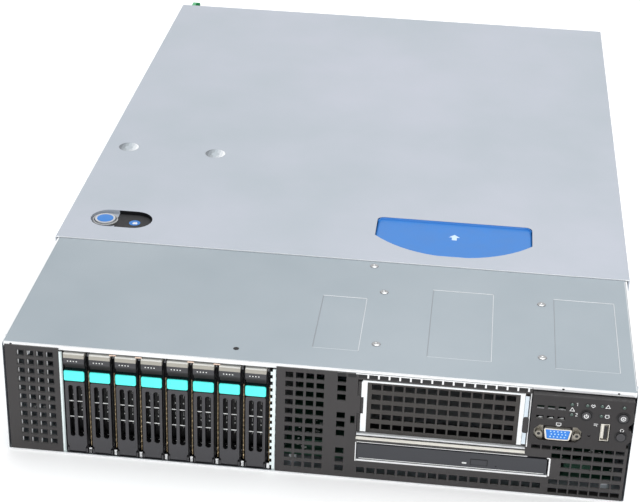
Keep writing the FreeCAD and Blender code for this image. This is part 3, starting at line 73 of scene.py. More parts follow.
def blended(tree, share, first, second):
    """The mix of two colours, or a colour and a node's output, by a share from 0 to 1."""
    mix = tree.nodes.new("ShaderNodeMix")
    mix.data_type = "RGBA"
    for socket, value in ((mix.inputs[0], share), (mix.inputs[6], first), (mix.inputs[7], second)):
        if isinstance(value, bpy.types.NodeSocket):
            tree.links.new(value, socket)
        else:
            socket.default_value = value if isinstance(value, float) else (*value, 1.0)
    return mix.outputs[2]


def finish(name, colour, rough, metal=0.0, drift=0.06, patch=14.0, grain=1400.0, bump=0.05, stretch=(1, 1, 1),
           zones=(), coat=0.0, glow=0.0, other=None):
    """A surface whose colour and roughness drift with broad and fine noise, under a fine bump.

    zones lists (colour, limits) for parts of the node with another colour, some their own, some painted
    light and shade. The limits give a low and a high value for some of X, Y and Z, and for NX, NY and NZ,
    which are the parts of the normal. glow paints light of the surface's own colour into it, an emission
    on a moulding that is no lamp."""
    material = bpy.data.materials.new(name)
    material.use_nodes = True
    tree = material.node_tree
    shader = tree.nodes["Principled BSDF"]
    place = wired(tree, "ShaderNodeTexCoord")
    spread = wired(tree, "ShaderNodeMapping", Vector=place.outputs["Object"], Scale=stretch).outputs[0]
    broad = wired(tree, "ShaderNodeTexNoise", Vector=spread, Scale=patch, Detail=4.0, Roughness=0.6).outputs[0]
    fine = wired(tree, "ShaderNodeTexNoise", Vector=spread, Scale=grain, Detail=2.0).outputs[0]
    both = wired(tree, "ShaderNodeMath", {"operation": "MULTIPLY_ADD"}, i0=fine, i1=0.35, i2=broad).outputs[0]
    share = wired(tree, "ShaderNodeMapRange", Value=both, From_Min=0.4, From_Max=0.95).outputs[0]
    dark = [c * (1 - drift) for c in colour]
    light = other or [min(1.0, c * (1 + drift)) for c in colour]
    paint = blended(tree, share, dark, light)
    axes = wired(tree, "ShaderNodeSeparateXYZ", Vector=place.outputs["Object"])
    turned = wired(tree, "ShaderNodeSeparateXYZ", Vector=place.outputs["Normal"])
    for zone_colour, limits in zones:
        mask = None
        for axis, (low, high) in limits.items():
            source = turned if axis[0] == "N" else axes
            inside = between(tree, source.outputs["XYZ".index(axis[-1])], low, high)
            if mask is not None:
                inside = wired(tree, "ShaderNodeMath", {"operation": "MULTIPLY"}, i0=mask, i1=inside).outputs[0]
            mask = inside
        paint = blended(tree, mask, paint, blended(tree, share, [c * (1 - drift) for c in zone_colour], zone_colour))
    tree.links.new(paint, shader.inputs["Base Color"])
    dull = wired(tree, "ShaderNodeMapRange", Value=both, From_Min=0.4, From_Max=0.95,
                 To_Min=rough * 0.85, To_Max=min(1.0, rough * 1.15)).outputs[0]
    tree.links.new(dull, shader.inputs["Roughness"])
    shader.inputs["Metallic"].default_value = metal
    shader.inputs["Coat Weight"].default_value = coat
    if glow:
        tree.links.new(paint, shader.inputs["Emission Color"])
        shader.inputs["Emission Strength"].default_value = glow
    relief = wired(tree, "ShaderNodeBump", Height=fine, Strength=bump, Distance=0.0003).outputs[0]
    tree.links.new(relief, shader.inputs["Normal"])
    return material


def dress(node, material):
    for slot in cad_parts[node].material_slots:
        slot.material = material


zinc = (0.50, 0.545, 0.59)
edge_highlight_white = (0.93, 0.94, 0.95)
to_front = (-1.1, -0.6)
# painted highlight: faces that look to the front, and a band along the top edge, near-white
tray_zinc = finish("tray_zinc", zinc, 0.42, metal=0.45, drift=0.07, zones=[
    (edge_highlight_white, {"NY": to_front}), (edge_highlight_white, {"Z": (85.7 * mm, 86.2 * mm)})])
dress("chassis_tray", tray_zinc)


# ------------------------------------------------------------------ fixed front top panel
# Coated sheet over the drives and bays, with three embossed fields and a folded front flange
# whose bend and front faces are painted near-white as highlight. Held by five flat rivets to the media bay and the
# tray.
panel_low, panel_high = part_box("front_top_panel")
# painted highlight: the panel's faces that look to the front are near-white
panel_zinc = finish("panel_zinc", (0.335, 0.39, 0.43), 0.46, metal=0.4, drift=0.07, patch=9.0, other=(0.365, 0.41, 0.445),
                    zones=[(edge_highlight_white, {"NY": to_front})])
dress("front_top_panel", panel_zinc)


def mesh_piece(name, parts):
    """One object from (points, faces) pairs, smooth but for edges over 35 degrees."""
    points = np.concatenate([p for p, f in parts])
    faces, first = [], 0
    for part_points, part_faces in parts:
        faces += [tuple(int(i) + first for i in face) for face in part_faces]
        first += len(part_points)
    mesh = bpy.data.meshes.new(name)
    mesh.from_pydata(points.tolist(), [], faces)
    mesh.polygons.foreach_set("use_smooth", [True] * len(mesh.polygons))
    mesh.set_sharp_from_angle(angle=math.radians(35))
    piece = bpy.data.objects.new(name, mesh)
    bpy.context.scene.collection.objects.link(piece)
    return piece


def grid_faces(rows, columns, close_rows=False):
    """Quads of a grid of points; close_rows joins the last row to the first. Columns always close."""
    row = np.arange(rows if close_rows else rows - 1)[:, None]
    column = np.arange(columns)[None, :]
    beside = (column + 1) % columns
    above = (row + 1) % rows
    quads = np.stack([row * columns + column, row * columns + beside,
                      above * columns + beside, above * columns + column], axis=-1)
    return quads.reshape(-1, 4)


def raised(outline, steps, origin, across=right, upward=up, ring=False):
    """Rings of a flat outline, each moved in along the outline's normals by an inset and lifted by a height.

    The outline runs anticlockwise as seen from outside, where across x upward points. The two ends
    are closed flat, or with ring the last step joins the first, which leaves the middle open."""
    outline = np.asarray(outline, float)
    run = np.roll(outline, -1, axis=0) - outline
    run /= np.linalg.norm(run, axis=1)[:, None]
    normal = np.stack([run[:, 1], -run[:, 0]], axis=1)
    corner = normal + np.roll(normal, 1, axis=0)
    corner /= (corner * normal).sum(axis=1)[:, None]
    out = np.cross(across, upward)
    rings = []
    for inset, height in steps:
        flat = outline - inset * corner
        rings.append(np.asarray(origin) + flat[:, :1] * across + flat[:, 1:] * upward + height * out)
    count = len(outline)
    faces = grid_faces(len(steps), count, close_rows=ring).tolist()
    if not ring:
        faces.append(list(range(count))[::-1])
        faces.append(list(range(count * (len(steps) - 1), count * len(steps))))
    return np.concatenate(rings), faces


def circle(radius, sides=24, start=0.0):
    turn = start + np.arange(sides) * 2 * math.pi / sides
    return np.stack([radius * np.cos(turn), radius * np.sin(turn)], axis=1)


def rounded(width, height, radius, steps=4):
    """A rectangle about the origin whose corners are quarter circles."""
    turn = np.linspace(0, math.pi / 2, steps + 1)
    quarter = np.stack([np.cos(turn), np.sin(turn)], axis=1) * radius
    corners = []
    for index, (sx, sy) in enumerate(((1, 1), (-1, 1), (-1, -1), (1, -1))):
        angle = index * math.pi / 2
        spin = np.array([[math.cos(angle), math.sin(angle)], [-math.sin(angle), math.cos(angle)]])
        corners.append(quarter @ spin + [sx * (width / 2 - radius), sy * (height / 2 - radius)])
    return np.concatenate(corners)


def fitted(piece, material, body):
    """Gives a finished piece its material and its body."""
    piece.data.materials.append(material)
    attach(piece, body)
    return piece


def plate(width, height, lift, origin, bevel=0.15 * mm, corner=0.3 * mm, across=right, upward=up):
    """A rounded rectangle lifted off its base, with a bevelled front edge."""
    return raised(rounded(width, height, corner, 2), [(0, 0), (0, lift - bevel), (bevel, lift)], origin, across, upward)


def lying(width, depth, lift, origin, **shape):
    """A plate whose face looks up."""
    return plate(width, depth, lift, origin, upward=back, **shape)


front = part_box("front_fascia")[0].y
rivet_steel = finish("rivet_steel", (0.41, 0.415, 0.42), 0.25, metal=0.9, patch=300.0)
rivet_places = ((37.7, 37.5), (150.1, 37.5), (37.7, 110.0), (150.1, 110.0), (27.5, 148.0))
rivet_dome = [(0, 0), (0, 0.25 * mm), (0.5 * mm, 0.6 * mm), (1.5 * mm, 0.72 * mm), (1.9 * mm, 0.35 * mm), (2.2 * mm, 0.3 * mm)]
rivets = mesh_piece("top_panel_rivets", [
    raised(circle(2.9 * mm), rivet_dome, (x * mm, front + y * mm, panel_high.z), upward=back) for x, y in rivet_places])
fitted(rivets, rivet_steel, "chassis")
# painted shade: a dark disc round each rivet, where its head meets the sheet
rivet_edge_shade = finish("rivet_edge_shade", (0.16, 0.165, 0.17), 0.4, metal=0.4)
shade_discs = [lying(6.6 * mm, 6.6 * mm, 0.06 * mm, (x * mm, front + y * mm, panel_high.z), corner=3.29 * mm, bevel=0.02 * mm)
           for x, y in rivet_places]
fitted(mesh_piece("rivet_seat_shadows", shade_discs), rivet_edge_shade, "chassis")

# the pressed fields: painted highlights on the bends of three sides and along the panel's side bend,
# painted shade on the bend away from the light
bend_highlight_paint = finish("bend_highlight_paint", (0.64, 0.67, 0.69), 0.4, metal=0.2, patch=40.0)
shaded_bend = finish("shaded_bend", (0.30, 0.32, 0.34), 0.45, metal=0.3, patch=40.0)
fields = ((-5.1, 26.6, 26.8, 99.3), (72.5, 116.2, 26.6, 119.3), (158.7, 202.0, 25.0, 119.3))
bend_highlights, shades = [], []
for left, right_edge, near, far in fields:
    middle, across, halfway, deep = (left + right_edge) / 2, right_edge - left, (near + far) / 2, far - near
    low = panel_high.z - 0.33 * mm
    bend_highlights.append(lying(across * mm, 0.7 * mm, 0.3 * mm, (middle * mm, front + (far - 0.35) * mm, low), bevel=0.1 * mm, corner=0.2 * mm))
    bend_highlights.append(lying(across * mm, 0.5 * mm, 0.3 * mm, (middle * mm, front + (near + 0.25) * mm, low), bevel=0.1 * mm, corner=0.2 * mm))
    bend_highlights.append(lying(0.6 * mm, deep * mm, 0.3 * mm, ((right_edge - 0.3) * mm, front + halfway * mm, low), bevel=0.1 * mm, corner=0.2 * mm))
    shades.append(lying(0.45 * mm, deep * mm, 0.28 * mm, ((left + 0.22) * mm, front + halfway * mm, low), bevel=0.1 * mm, corner=0.2 * mm))
side_highlight = lying(0.6 * mm, 148 * mm, 0.04 * mm, (211.2 * mm, front + 79 * mm, panel_high.z - 0.01 * mm), bevel=0.02 * mm, corner=0.2 * mm)
fitted(mesh_piece("field_highlights", bend_highlights + [side_highlight]), bend_highlight_paint, "chassis")
fitted(mesh_piece("field_shades", shades), shaded_bend, "chassis")

# flat-headed rivets that hold the rail brackets' nuts, on both sides
studs = []
for y in (-306, -250, -40, 60, 190, 305):
    for z in (17, 60):
        for side in (-1, 1):
            studs.append(raised(circle(2.6 * mm, 20), [(0, 0), (0, 0.35 * mm), (0.6 * mm, 0.8 * mm), (1.6 * mm, 0.95 * mm)],
                                (side * 213 * mm, y * mm, z * mm), across=side * back, upward=up))
fitted(mesh_piece("side_rivets", studs), rivet_steel, "chassis")

# folded front flange: its bend painted near-white as a highlight band, higher over the drives, and a comb
# over the bays whose teeth carry painted highlights
hem_highlight_white = finish("hem_highlight_white", (0.94, 0.945, 0.95), 0.4, drift=0.03, patch=40.0)
hem_y = front + 1.55 * mm
hem = [plate(421 * mm, 0.95 * mm, 1.0 * mm, (0, hem_y, 85.88 * mm), bevel=0.2 * mm, corner=0.2 * mm),
       plate(147.4 * mm, 2.2 * mm, 0.7 * mm, (-99.4 * mm, hem_y, 84.9 * mm), bevel=0.2 * mm, corner=0.2 * mm)]
hem += [plate(1.2 * mm, 3.0 * mm, 0.35 * mm, ((15.2 + 6.3 + 7.05 * tooth) * mm, front, 83.7 * mm), bevel=0.1 * mm, corner=0.15 * mm)
        for tooth in range(2, 18)]
hem.append(plate(116 * mm, 0.6 * mm, 0.35 * mm, (85.5 * mm, front, 85.25 * mm), bevel=0.1 * mm, corner=0.1 * mm))
fitted(mesh_piece("panel_front_hem", hem), hem_highlight_white, "chassis")
# painted shade: near-black plates in gaps, notches and holes; on the button and lens rings it is the rings' own black
gap_shade_and_ring_black = finish("gap_shade_and_ring_black", (0.008, 0.008, 0.009), 0.7, drift=0.2)
comb_gaps = [plate(5.5 * mm, 2.6 * mm, 0.12 * mm, ((18.0 + 7.05 * gap) * mm, front, 83.4 * mm), bevel=0.05 * mm, corner=0.1 * mm)
             for gap in range(18)]
panel_hole = lying(4.2 * mm, 4.2 * mm, 0.05 * mm, (-55.3 * mm, front + 17.1 * mm, panel_high.z), corner=2.09 * mm, bevel=0.02 * mm)
hem_notches = comb_gaps + [panel_hole] + [plate(1.6 * mm, 1.2 * mm, 0.2 * mm, (x * mm, front + 0.6 * mm, 85.8 * mm)) for x in (-206.0, 163.5, 199.5)]
fitted(mesh_piece("hem_notches", hem_notches), gap_shade_and_ring_black, "chassis")


# ------------------------------------------------------------------ left vent panel and front fascia
# Punched sheet steel with a fine matt dark paint. The left panel feeds the air channel and the
# fascia frames the bays; both have folded rims that are spot-welded to the tray.
paint_dark = (0.030, 0.027, 0.0275)
sheet_depth = (front + 0.05 * mm, front + 1.28 * mm)
# painted light: the holes' cut edges that look up are lighter, those that look to the right a little less
fascia_paint = finish("fascia_paint", paint_dark, 0.5, drift=0.12, grain=2600.0, bump=0.12, zones=[
    ((0.20, 0.195, 0.19), {"Y": sheet_depth, "NZ": (0.6, 1.1)}), ((0.15, 0.145, 0.14), {"Y": sheet_depth, "NX": (0.6, 1.1)})])
dress("left_vent_panel", fascia_paint)
dress("front_fascia", fascia_paint)


tray_low, tray_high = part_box("chassis_tray")
vent_low, vent_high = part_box("left_vent_panel")
# near-white steel; the upright strips in the vent holes are painted highlights on the holes' lit side walls
steel_and_highlight_white = finish("steel_and_highlight_white", (0.86, 0.87, 0.88), 0.3, metal=0.25, drift=0.08, patch=60.0)
sill_strip = plate(tray_high.x - tray_low.x - 6 * mm, 1.1 * mm, 0.4 * mm, (0, front, 0.85 * mm))
wall_highlights = [plate(0.7 * mm, 77 * mm, 0.4 * mm, (vent_low.x + (8.3 + 6.65 * column + 0.1) * mm, front + 1.75 * mm, 44.5 * mm),
                 bevel=0.1 * mm) for column in range(4)]
fitted(mesh_piece("front_bottom_edge", [sill_strip]), steel_and_highlight_white, "chassis")
fitted(mesh_piece("vent_hole_highlights", wall_highlights), steel_and_highlight_white, "chassis")
# painted shade: a dark ring just inside each vent hole
rim_shades = []
for column in range(4):
    for row in range(11):
        middle = (vent_low.x + (8.3 + 2.3 + 6.65 * column) * mm, vent_low.y, (11.8 - 2.15 + 7.0 * row) * mm)
        rim_shades.append(raised(rounded(5.4 * mm, 5.0 * mm, 0.3 * mm, 1), [(0, 0), (0.05 * mm, 0.03 * mm), (0.4 * mm, 0.02 * mm), (0.4 * mm, 0)],
                                 middle, ring=True))
fitted(mesh_piece("vent_hole_shades", rim_shades), gap_shade_and_ring_black, "chassis")
# small board parts behind the vents, painted near-white as glints
chance = np.random.default_rng(7)
flecks = []
for count, low_x, high_x, low_z in ((16, -205, -177, 7.8), (46, -18, 10, 7.8), (30, 166, 205, 7.8), (12, 60, 150, 7.8)):
    for x, y, size in zip(chance.uniform(low_x, high_x, count), chance.uniform(16, 60, count), chance.uniform(0.7, 2.2, count)):
        flecks.append(lying(size * mm, 0.9 * size * mm, 0.8 * mm, (x * mm, front + y * mm, low_z * mm), bevel=0.1 * mm, corner=0.1 * mm))
board_glint_white = finish("board_glint_white", (0.80, 0.82, 0.80), 0.35, metal=0.2, drift=0.2, patch=300.0)
fitted(mesh_piece("board_small_parts", flecks), board_glint_white, "chassis")


# ------------------------------------------------------------------ drive cage
# Bare pressed steel: a box with thin dividers. Between the drives, beryllium-copper finger strips
# clipped on the dividers' front edges touch the carriers and keep radio noise in.
# painted highlight: faces that look to the front are lighter; painted shade: the dividers and the inside of the cage
# between the drives are near-black
cage_steel = finish("cage_steel", (0.42, 0.43, 0.44), 0.4, metal=0.6, patch=40.0, zones=[
    ((0.50, 0.57, 0.57), {"NY": to_front}), ((0.010, 0.010, 0.012), {"X": (-170.9 * mm, -28 * mm), "Y": (front, front + 118 * mm)})])
dress("drive_cage", cage_steel)
board_green = finish("board_green", (0.012, 0.060, 0.036), 0.42, drift=0.35, patch=120.0, grain=900.0, bump=0.3, coat=0.2)
dress("drive_backplane", board_green)


def finger_strip(x, low, high, count, width=1.0 * mm, depth=0.8 * mm, y=0.0):
    """Upright strip whose depth is depth * (1 - (u/half)^2) * |sin(count * pi * v)|^0.35, u across and v along."""
    rows, columns = count * 6 + 1, 7
    along, across = np.meshgrid(np.linspace(0, 1, rows), np.linspace(-1, 1, columns), indexing="ij")
    bulge = depth * (1 - across ** 2) * np.abs(np.sin(count * math.pi * along)) ** 0.35
    face = np.stack([x + across * width / 2, y - bulge, low + (high - low) * along], axis=-1).reshape(-1, 3)
    quads = [(r * columns + c, r * columns + c + 1, (r + 1) * columns + c + 1, (r + 1) * columns + c)
             for r in range(rows - 1) for c in range(columns - 1)]
    return face, quads


carrier_boxes = [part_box("drive_carrier_%d" % number) for number in range(1, 9)]
strip_bronze = finish("strip_bronze", (0.42, 0.32, 0.19), 0.35, metal=0.6, drift=0.8, patch=420.0)
strips, feet = [], []
for low, high in carrier_boxes:
    middle = (low.x + high.x) / 2 + 8.85 * mm
    strips.append(finger_strip(middle + 0.5 * mm, 7 * mm, 68 * mm, 15, y=front + 2.6 * mm))
    feet.append(plate(2.0 * mm, 4.4 * mm, 0.6 * mm, (middle, front + 1.6 * mm, 3.9 * mm)))
finger_strips = mesh_piece("finger_strips", strips)
thick = finger_strips.modifiers.new("sheet", "SOLIDIFY")
thick.thickness = 0.12 * mm
fitted(finger_strips, strip_bronze, "chassis")
cage_low, cage_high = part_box("drive_cage")
# the cage's front flanges and teeth, painted near-white as highlights
flanges = [plate(1.2 * mm, 80 * mm, 0.3 * mm, (cage_low.x + 0.8 * mm, cage_low.y, 43 * mm), bevel=0.1 * mm),
           plate(2.0 * mm, 80 * mm, 0.3 * mm, (cage_high.x - 1.2 * mm, cage_low.y, 43 * mm), bevel=0.1 * mm)]
teeth = [plate(1.5 * mm, 2.6 * mm, 0.3 * mm, (cage_high.x - 2.9 * mm, cage_low.y + 0.2 * mm, (7 + 5.2 * row) * mm), bevel=0.1 * mm, corner=0.2 * mm)
         for row in range(15)]
fitted(mesh_piece("finger_strip_feet", feet), steel_and_highlight_white, "chassis")
cage_edge_highlight = finish("cage_edge_highlight", (0.84, 0.93, 0.93), 0.35, drift=0.06, patch=80.0)
fitted(mesh_piece("cage_flanges", flanges + teeth), cage_edge_highlight, "chassis")
clips = [plate(4.6 * mm, 0.9 * mm, 0.4 * mm, (carrier_boxes[index][1].x + 1.4 * mm, front + 1.2 * mm, 82.75 * mm), bevel=0.1 * mm)
         for index in (1, 2, 4, 5)]
clip_copper = finish("clip_copper", (0.82, 0.62, 0.50), 0.35, metal=0.3, drift=0.15, patch=200.0)
fitted(mesh_piece("cage_top_clips", clips), clip_copper, "chassis")


# ------------------------------------------------------------------ drive carriers, levers and latches
# Eight carriers moulded in dark grey with a silver drive inside. The lever has two slots over the
# light pipes; the push latch above it is a translucent teal moulding that shows a hot-swap part.
carrier_grey = (0.044, 0.043, 0.048)
steel_grey = (0.45, 0.46, 0.48)
gap_shade_colour = (0.006, 0.006, 0.007)
drive_back = carrier_boxes[0][1].y
# painted shade: near-black behind the lever's slots and in the gap under the head; painted highlight: a pale line along
# the head's top edge
carrier_mix = finish("carrier_mix", carrier_grey, 0.48, drift=0.1, grain=2600.0, bump=0.15, zones=[
    (steel_grey, {"Y": (front + 10 * mm, drive_back + mm)}),
    (gap_shade_colour, {"Y": (front + 4 * mm, front + 14 * mm), "Z": (8 * mm, 73.4 * mm)}),
    (gap_shade_colour, {"Y": (front - mm, front + 9 * mm), "Z": (73.0 * mm, 74.6 * mm)}),
    ((0.44, 0.415, 0.36), {"Y": (front - mm, front + 9 * mm), "Z": (78.6 * mm, 81.2 * mm)}),
    ((0.80, 0.79, 0.74), {"Y": (front - mm, front + 9 * mm), "Z": (81.2 * mm, 82.1 * mm)})])
# painted shade: the walls of the lever's slots are near-black
slot_walls = {"Y": (front - 0.1 * mm, front + 7 * mm), "Z": (15.5 * mm, 57.4 * mm)}
lever_plastic = finish("lever_plastic", carrier_grey, 0.42, drift=0.1, grain=2600.0, bump=0.15, zones=[
    (gap_shade_colour, {**slot_walls, "NX": (0.5, 1.1)}), (gap_shade_colour, {**slot_walls, "NX": (-1.1, -0.5)}),
    (gap_shade_colour, {**slot_walls, "NZ": (0.5, 1.1)}), (gap_shade_colour, {**slot_walls, "NY": (0.5, 1.1)})])
# painted light: the teal latch glows a little; painted shade: darker along its bottom edge and near-black on its sides
# and back
latch_teal = finish("latch_teal", (0.085, 0.90, 0.82), 0.3, drift=0.05, patch=200.0, coat=0.3, glow=0.22, zones=[
    ((0.03, 0.42, 0.40), {"Z": (60 * mm, 61.5 * mm)}), ((0.006, 0.02, 0.02), {"Y": (front - 0.35 * mm, front + 20 * mm)})])
# near-white: painted glints on the light pipes and lever ribs, a painted highlight line along the bezel's foot, the
# pale pips on the head and the busy light's lens
glint_and_lens_white = finish("glint_and_lens_white", (0.80, 0.81, 0.80), 0.3, drift=0.2, patch=500.0)
lever_slots = ((-2.8, 3.4), (3.0, 4.0))
for number, (low, high) in enumerate(carrier_boxes, 1):
    middle = (low.x + high.x) / 2
    carrier, lever, latch = ("drive_%s_%d" % (part, number) for part in ("carrier", "handle", "latch"))
    dress(carrier, carrier_mix)
    dress(lever, lever_plastic)
    pips = [plate(0.9 * mm, 0.8 * mm, 0.12 * mm, (middle + dx * mm, front - 0.2 * mm, 76.3 * mm), bevel=0.05 * mm, corner=0.2 * mm)
            for dx in (-4.0, -2.0, 0.0, 2.0)]
    # painted shade: a near-black plate in the gap under the head
    under_head_shade = plate(13.8 * mm, 3.6 * mm, 0.3 * mm, (middle, front + 2.4 * mm, 71.5 * mm))
    fitted(mesh_piece("carrier_head_gap_shade_%d" % number, [under_head_shade]), gap_shade_and_ring_black, carrier)
    pipes = []
    for offset, width in lever_slots:
        centre = middle + offset * mm
        wobble = 0.25 * mm * math.sin(3.1 * number + offset)
        for z, wide, tall in ((52.2, 0.3, 3.4), (46.0, 0.7, 0.9), (37.6, 0.3, 3.0), (33.9, 0.8, 0.8), (27.2, 0.3, 2.6)):
            pipes.append(plate(wide * mm, tall * mm, 0.4 * mm, (centre + wobble, front + 5.9 * mm, z * mm), bevel=0.1 * mm, corner=0.15 * mm))
        pipes.append(plate(1.4 * mm, 1.2 * mm, 0.4 * mm, (centre + 0.3 * mm, front + 5.9 * mm, 14.6 * mm), bevel=0.1 * mm, corner=0.5 * mm))
    fitted(mesh_piece("pipe_glints_%d" % number, pipes + pips), glint_and_lens_white, carrier)
    rib_glints = [plate((width - 0.1) * mm, 0.6 * mm, 0.4 * mm, (middle + offset * mm, front + 1.2 * mm, z * mm), bevel=0.1 * mm, corner=0.1 * mm)
            for offset, width in lever_slots for z in (31.3, 43.9)]
    fitted(mesh_piece("lever_rib_highlights_%d" % number, rib_glints), glint_and_lens_white, lever)
    latch_low, latch_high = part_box(latch)
    depth = latch_high.y - latch_low.y
    pad_height = latch_high.z - latch_low.z
    pad = raised(rounded(latch_high.x - latch_low.x, pad_height, 1.3 * mm),
                 [(0.4 * mm, 0), (0, 0.4 * mm), (0, 4.9 * mm), (0.15 * mm, 5.4 * mm), (0.5 * mm, 5.75 * mm), (1.0 * mm, 5.9 * mm)],
                 (middle, latch_low.y + 5.9 * mm, (latch_low.z + latch_high.z) / 2))
    stem = raised(rounded(8 * mm, 4 * mm, 0.3 * mm, 1), [(0, 0), (0, depth - 5.7 * mm)],
                  (middle, latch_high.y, (latch_low.z + latch_high.z) / 2))
    pad_piece = fitted(mesh_piece("latch_pad_%d" % number, [pad, stem]), latch_teal, latch)
    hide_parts(latch)


# ------------------------------------------------------------------ media bay, bay filler and optical drive
# The media bay is bare pressed steel. Its filler is a punched face in a bare steel frame, painted near-white as
# highlight, with a sloping sill, sprung into the bay; below it lies a slim optical drive with a moulded bezel.
dress("media_bay", cage_steel)
filler_low, filler_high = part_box("bay_filler")
filler_dark = (0.040, 0.036, 0.033)
filler_face = front + 1.5 * mm
filler_sheet = (filler_face, filler_face + 1.2 * mm)
cut_metal = (filler_face + 0.05 * mm, filler_face + 1.1 * mm)
sill_slope = {"Z": (34 * mm, 38.7 * mm)}
# painted light: hole edges that look up and to the right are lighter, and the space behind the holes is near-black as
# shade; on the sill, a cream highlight band between painted shade lines; the side tabs are dark paint
filler_mix = finish("filler_mix", (0.88, 0.90, 0.91), 0.32, metal=0.25, drift=0.1, patch=80.0, zones=[
    (filler_dark, {"Y": filler_sheet}), ((0.28, 0.265, 0.25), {"Y": cut_metal, "NZ": (0.6, 1.1)}),
    ((0.15, 0.14, 0.135), {"Y": cut_metal, "NX": (0.6, 1.1)}), ((0.02, 0.02, 0.02), {"Y": (filler_sheet[1], front + 25 * mm)}),
    (paint_dark, {"X": (28 * mm, 31.6 * mm), "Z": (38.8 * mm, 80 * mm)}), (paint_dark, {"X": (31 * mm, 33.2 * mm), "Z": (54 * mm, 67 * mm)}),
    ((0.03, 0.028, 0.026), {**sill_slope, "Y": (front - 2.5 * mm, front - 1.5 * mm)}),
    ((0.78, 0.755, 0.68), {**sill_slope, "Y": (front - 4.6 * mm, front - 2.5 * mm)}),
    ((0.05, 0.047, 0.045), {"Z": (33 * mm, 38.7 * mm), "Y": (front - 4.6 * mm, front - 4.35 * mm), "NY": to_front})])
dress("bay_filler", filler_mix)
dress("optical_drive_case", cage_steel)
bezel_grey = (0.034, 0.036, 0.043)
tray_low_corner, tray_high_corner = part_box("optical_tray")
bezel_mix = finish("bezel_mix", bezel_grey, 0.38, drift=0.1, grain=2600.0, bump=0.12)
dress("optical_tray", bezel_mix)
dress("optical_eject_button", bezel_mix)
eject_low, eject_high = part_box("optical_eject_button")
bezel_front = tray_low_corner.y


def outline_ring(width, height, line, lift, origin, corner=0.4 * mm):
    """A thin raised frame round a rounded rectangle, line wide and lift high."""
    return raised(rounded(width, height, corner, 2), [(0, 0), (0, lift), (line, lift), (line, 0)], origin, ring=True)


eject_middle = ((eject_low.x + eject_high.x) / 2, bezel_front, (eject_low.z + eject_high.z) / 2)
pinhole = raised(circle(0.6 * mm, 12), [(0, 0), (0, 0.06 * mm)], (124.4 * mm, bezel_front, 20.8 * mm))
bezel_line = plate(tray_high_corner.x - tray_low_corner.x - 3 * mm, 0.5 * mm, 0.08 * mm,
                   ((tray_low_corner.x + tray_high_corner.x) / 2, bezel_front, tray_low_corner.z + 0.9 * mm), bevel=0.04 * mm, corner=0.1 * mm)
# painted shade: a dark ring in the gap round the eject button and a dark pin hole
fitted(mesh_piece("bezel_gap_shades", [outline_ring(11.8 * mm, 5.0 * mm, 0.45 * mm, 0.08 * mm, eject_middle), pinhole]),
       gap_shade_and_ring_black, "optical_tray")
tab_dark = plate(4.2 * mm, 12.5 * mm, 0.7 * mm, (141.4 * mm, front + 0.2 * mm, 56.0 * mm), corner=1.3 * mm, bevel=0.3 * mm)
bay_pale = finish("bay_pale", (0.74, 0.83, 0.90), 0.35, metal=0.1, drift=0.06, patch=80.0)
side_spring = plate(2.6 * mm, 38 * mm, 0.3 * mm, (141.0 * mm, front + 0.4 * mm, 59.5 * mm), bevel=0.1 * mm, corner=0.3 * mm)
fitted(mesh_piece("filler_side_spring", [side_spring]), bay_pale, "chassis")
fitted(mesh_piece("filler_tab", [tab_dark]), fascia_paint, "chassis")
# painted highlight lines along the edges of the bay and the drive opening
frame_lines = [plate(131.5 * mm, 1.3 * mm, 0.4 * mm, (94.6 * mm, front + 0.7 * mm, 16.1 * mm), bevel=0.1 * mm, corner=0.2 * mm),
               plate(0.6 * mm, 15.5 * mm, 0.3 * mm, (29.3 * mm, front, 23.2 * mm), bevel=0.1 * mm, corner=0.2 * mm),
               plate(1.1 * mm, 14 * mm, 0.3 * mm, (159.9 * mm, front, 23.6 * mm), bevel=0.1 * mm, corner=0.2 * mm),
               plate(2.2 * mm, 0.8 * mm, 0.3 * mm, (159.0 * mm, front, 30.9 * mm), bevel=0.1 * mm, corner=0.2 * mm),
               plate(117.5 * mm, 0.9 * mm, 0.4 * mm, (86 * mm, front + 0.7 * mm, 31.0 * mm), bevel=0.1 * mm, corner=0.2 * mm),
               plate(0.8 * mm, 42 * mm, 0.4 * mm, (143.3 * mm, front, 60 * mm), bevel=0.1 * mm, corner=0.2 * mm)]
fitted(mesh_piece("bay_edge_lines", frame_lines), hem_highlight_white, "chassis")
busy_light = plate(3.2 * mm, 1.2 * mm, 0.12 * mm, (103.1 * mm, bezel_front, 21.6 * mm), bevel=0.05 * mm, corner=0.5 * mm)
fitted(mesh_piece("optical_light", [busy_light, bezel_line]), glint_and_lens_white, "optical_tray")


# ------------------------------------------------------------------ control panel
# Dark brown-black moulding with printed white signs, small light lenses, three push buttons in
# raised rings, a blue video socket in its metal shell and an upright serial-bus socket.
panel_black = (0.0085, 0.0063, 0.007)
control_low, control_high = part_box("control_panel")
face = control_low.y
# painted highlight: the slots' lower walls, which look up, are lighter, near-white in the upper row
in_wall = {"Y": (face + 0.03 * mm, face + 1.6 * mm), "X": (145 * mm, 168 * mm), "NZ": (0.6, 1.1)}
control_plastic = finish("control_plastic", panel_black, 0.5, drift=0.12, grain=2600.0, bump=0.15, zones=[
    ((0.85, 0.86, 0.87), {**in_wall, "Z": (72.6 * mm, 73.0 * mm)}), ((0.35, 0.35, 0.33), {**in_wall, "Z": (64.7 * mm, 65.1 * mm)})])
dress("control_panel", control_plastic)
dress("control_board", board_green)
button_grey = finish("button_grey", (0.035, 0.034, 0.038), 0.35, drift=0.1, grain=2600.0)
for node in ("power_button", "id_button", "reset_button", "nmi_button"):
    dress(node, button_grey)
print_white = finish("print_white", (0.80, 0.80, 0.80), 0.6, drift=0.05, patch=900.0)
button_places = {"power": (179.8, 70.1, 4.3, 3.0), "id": (203.9, 70.2, 4.5, 3.2), "reset": (203.8, 55.5, 4.2, 3.0)}
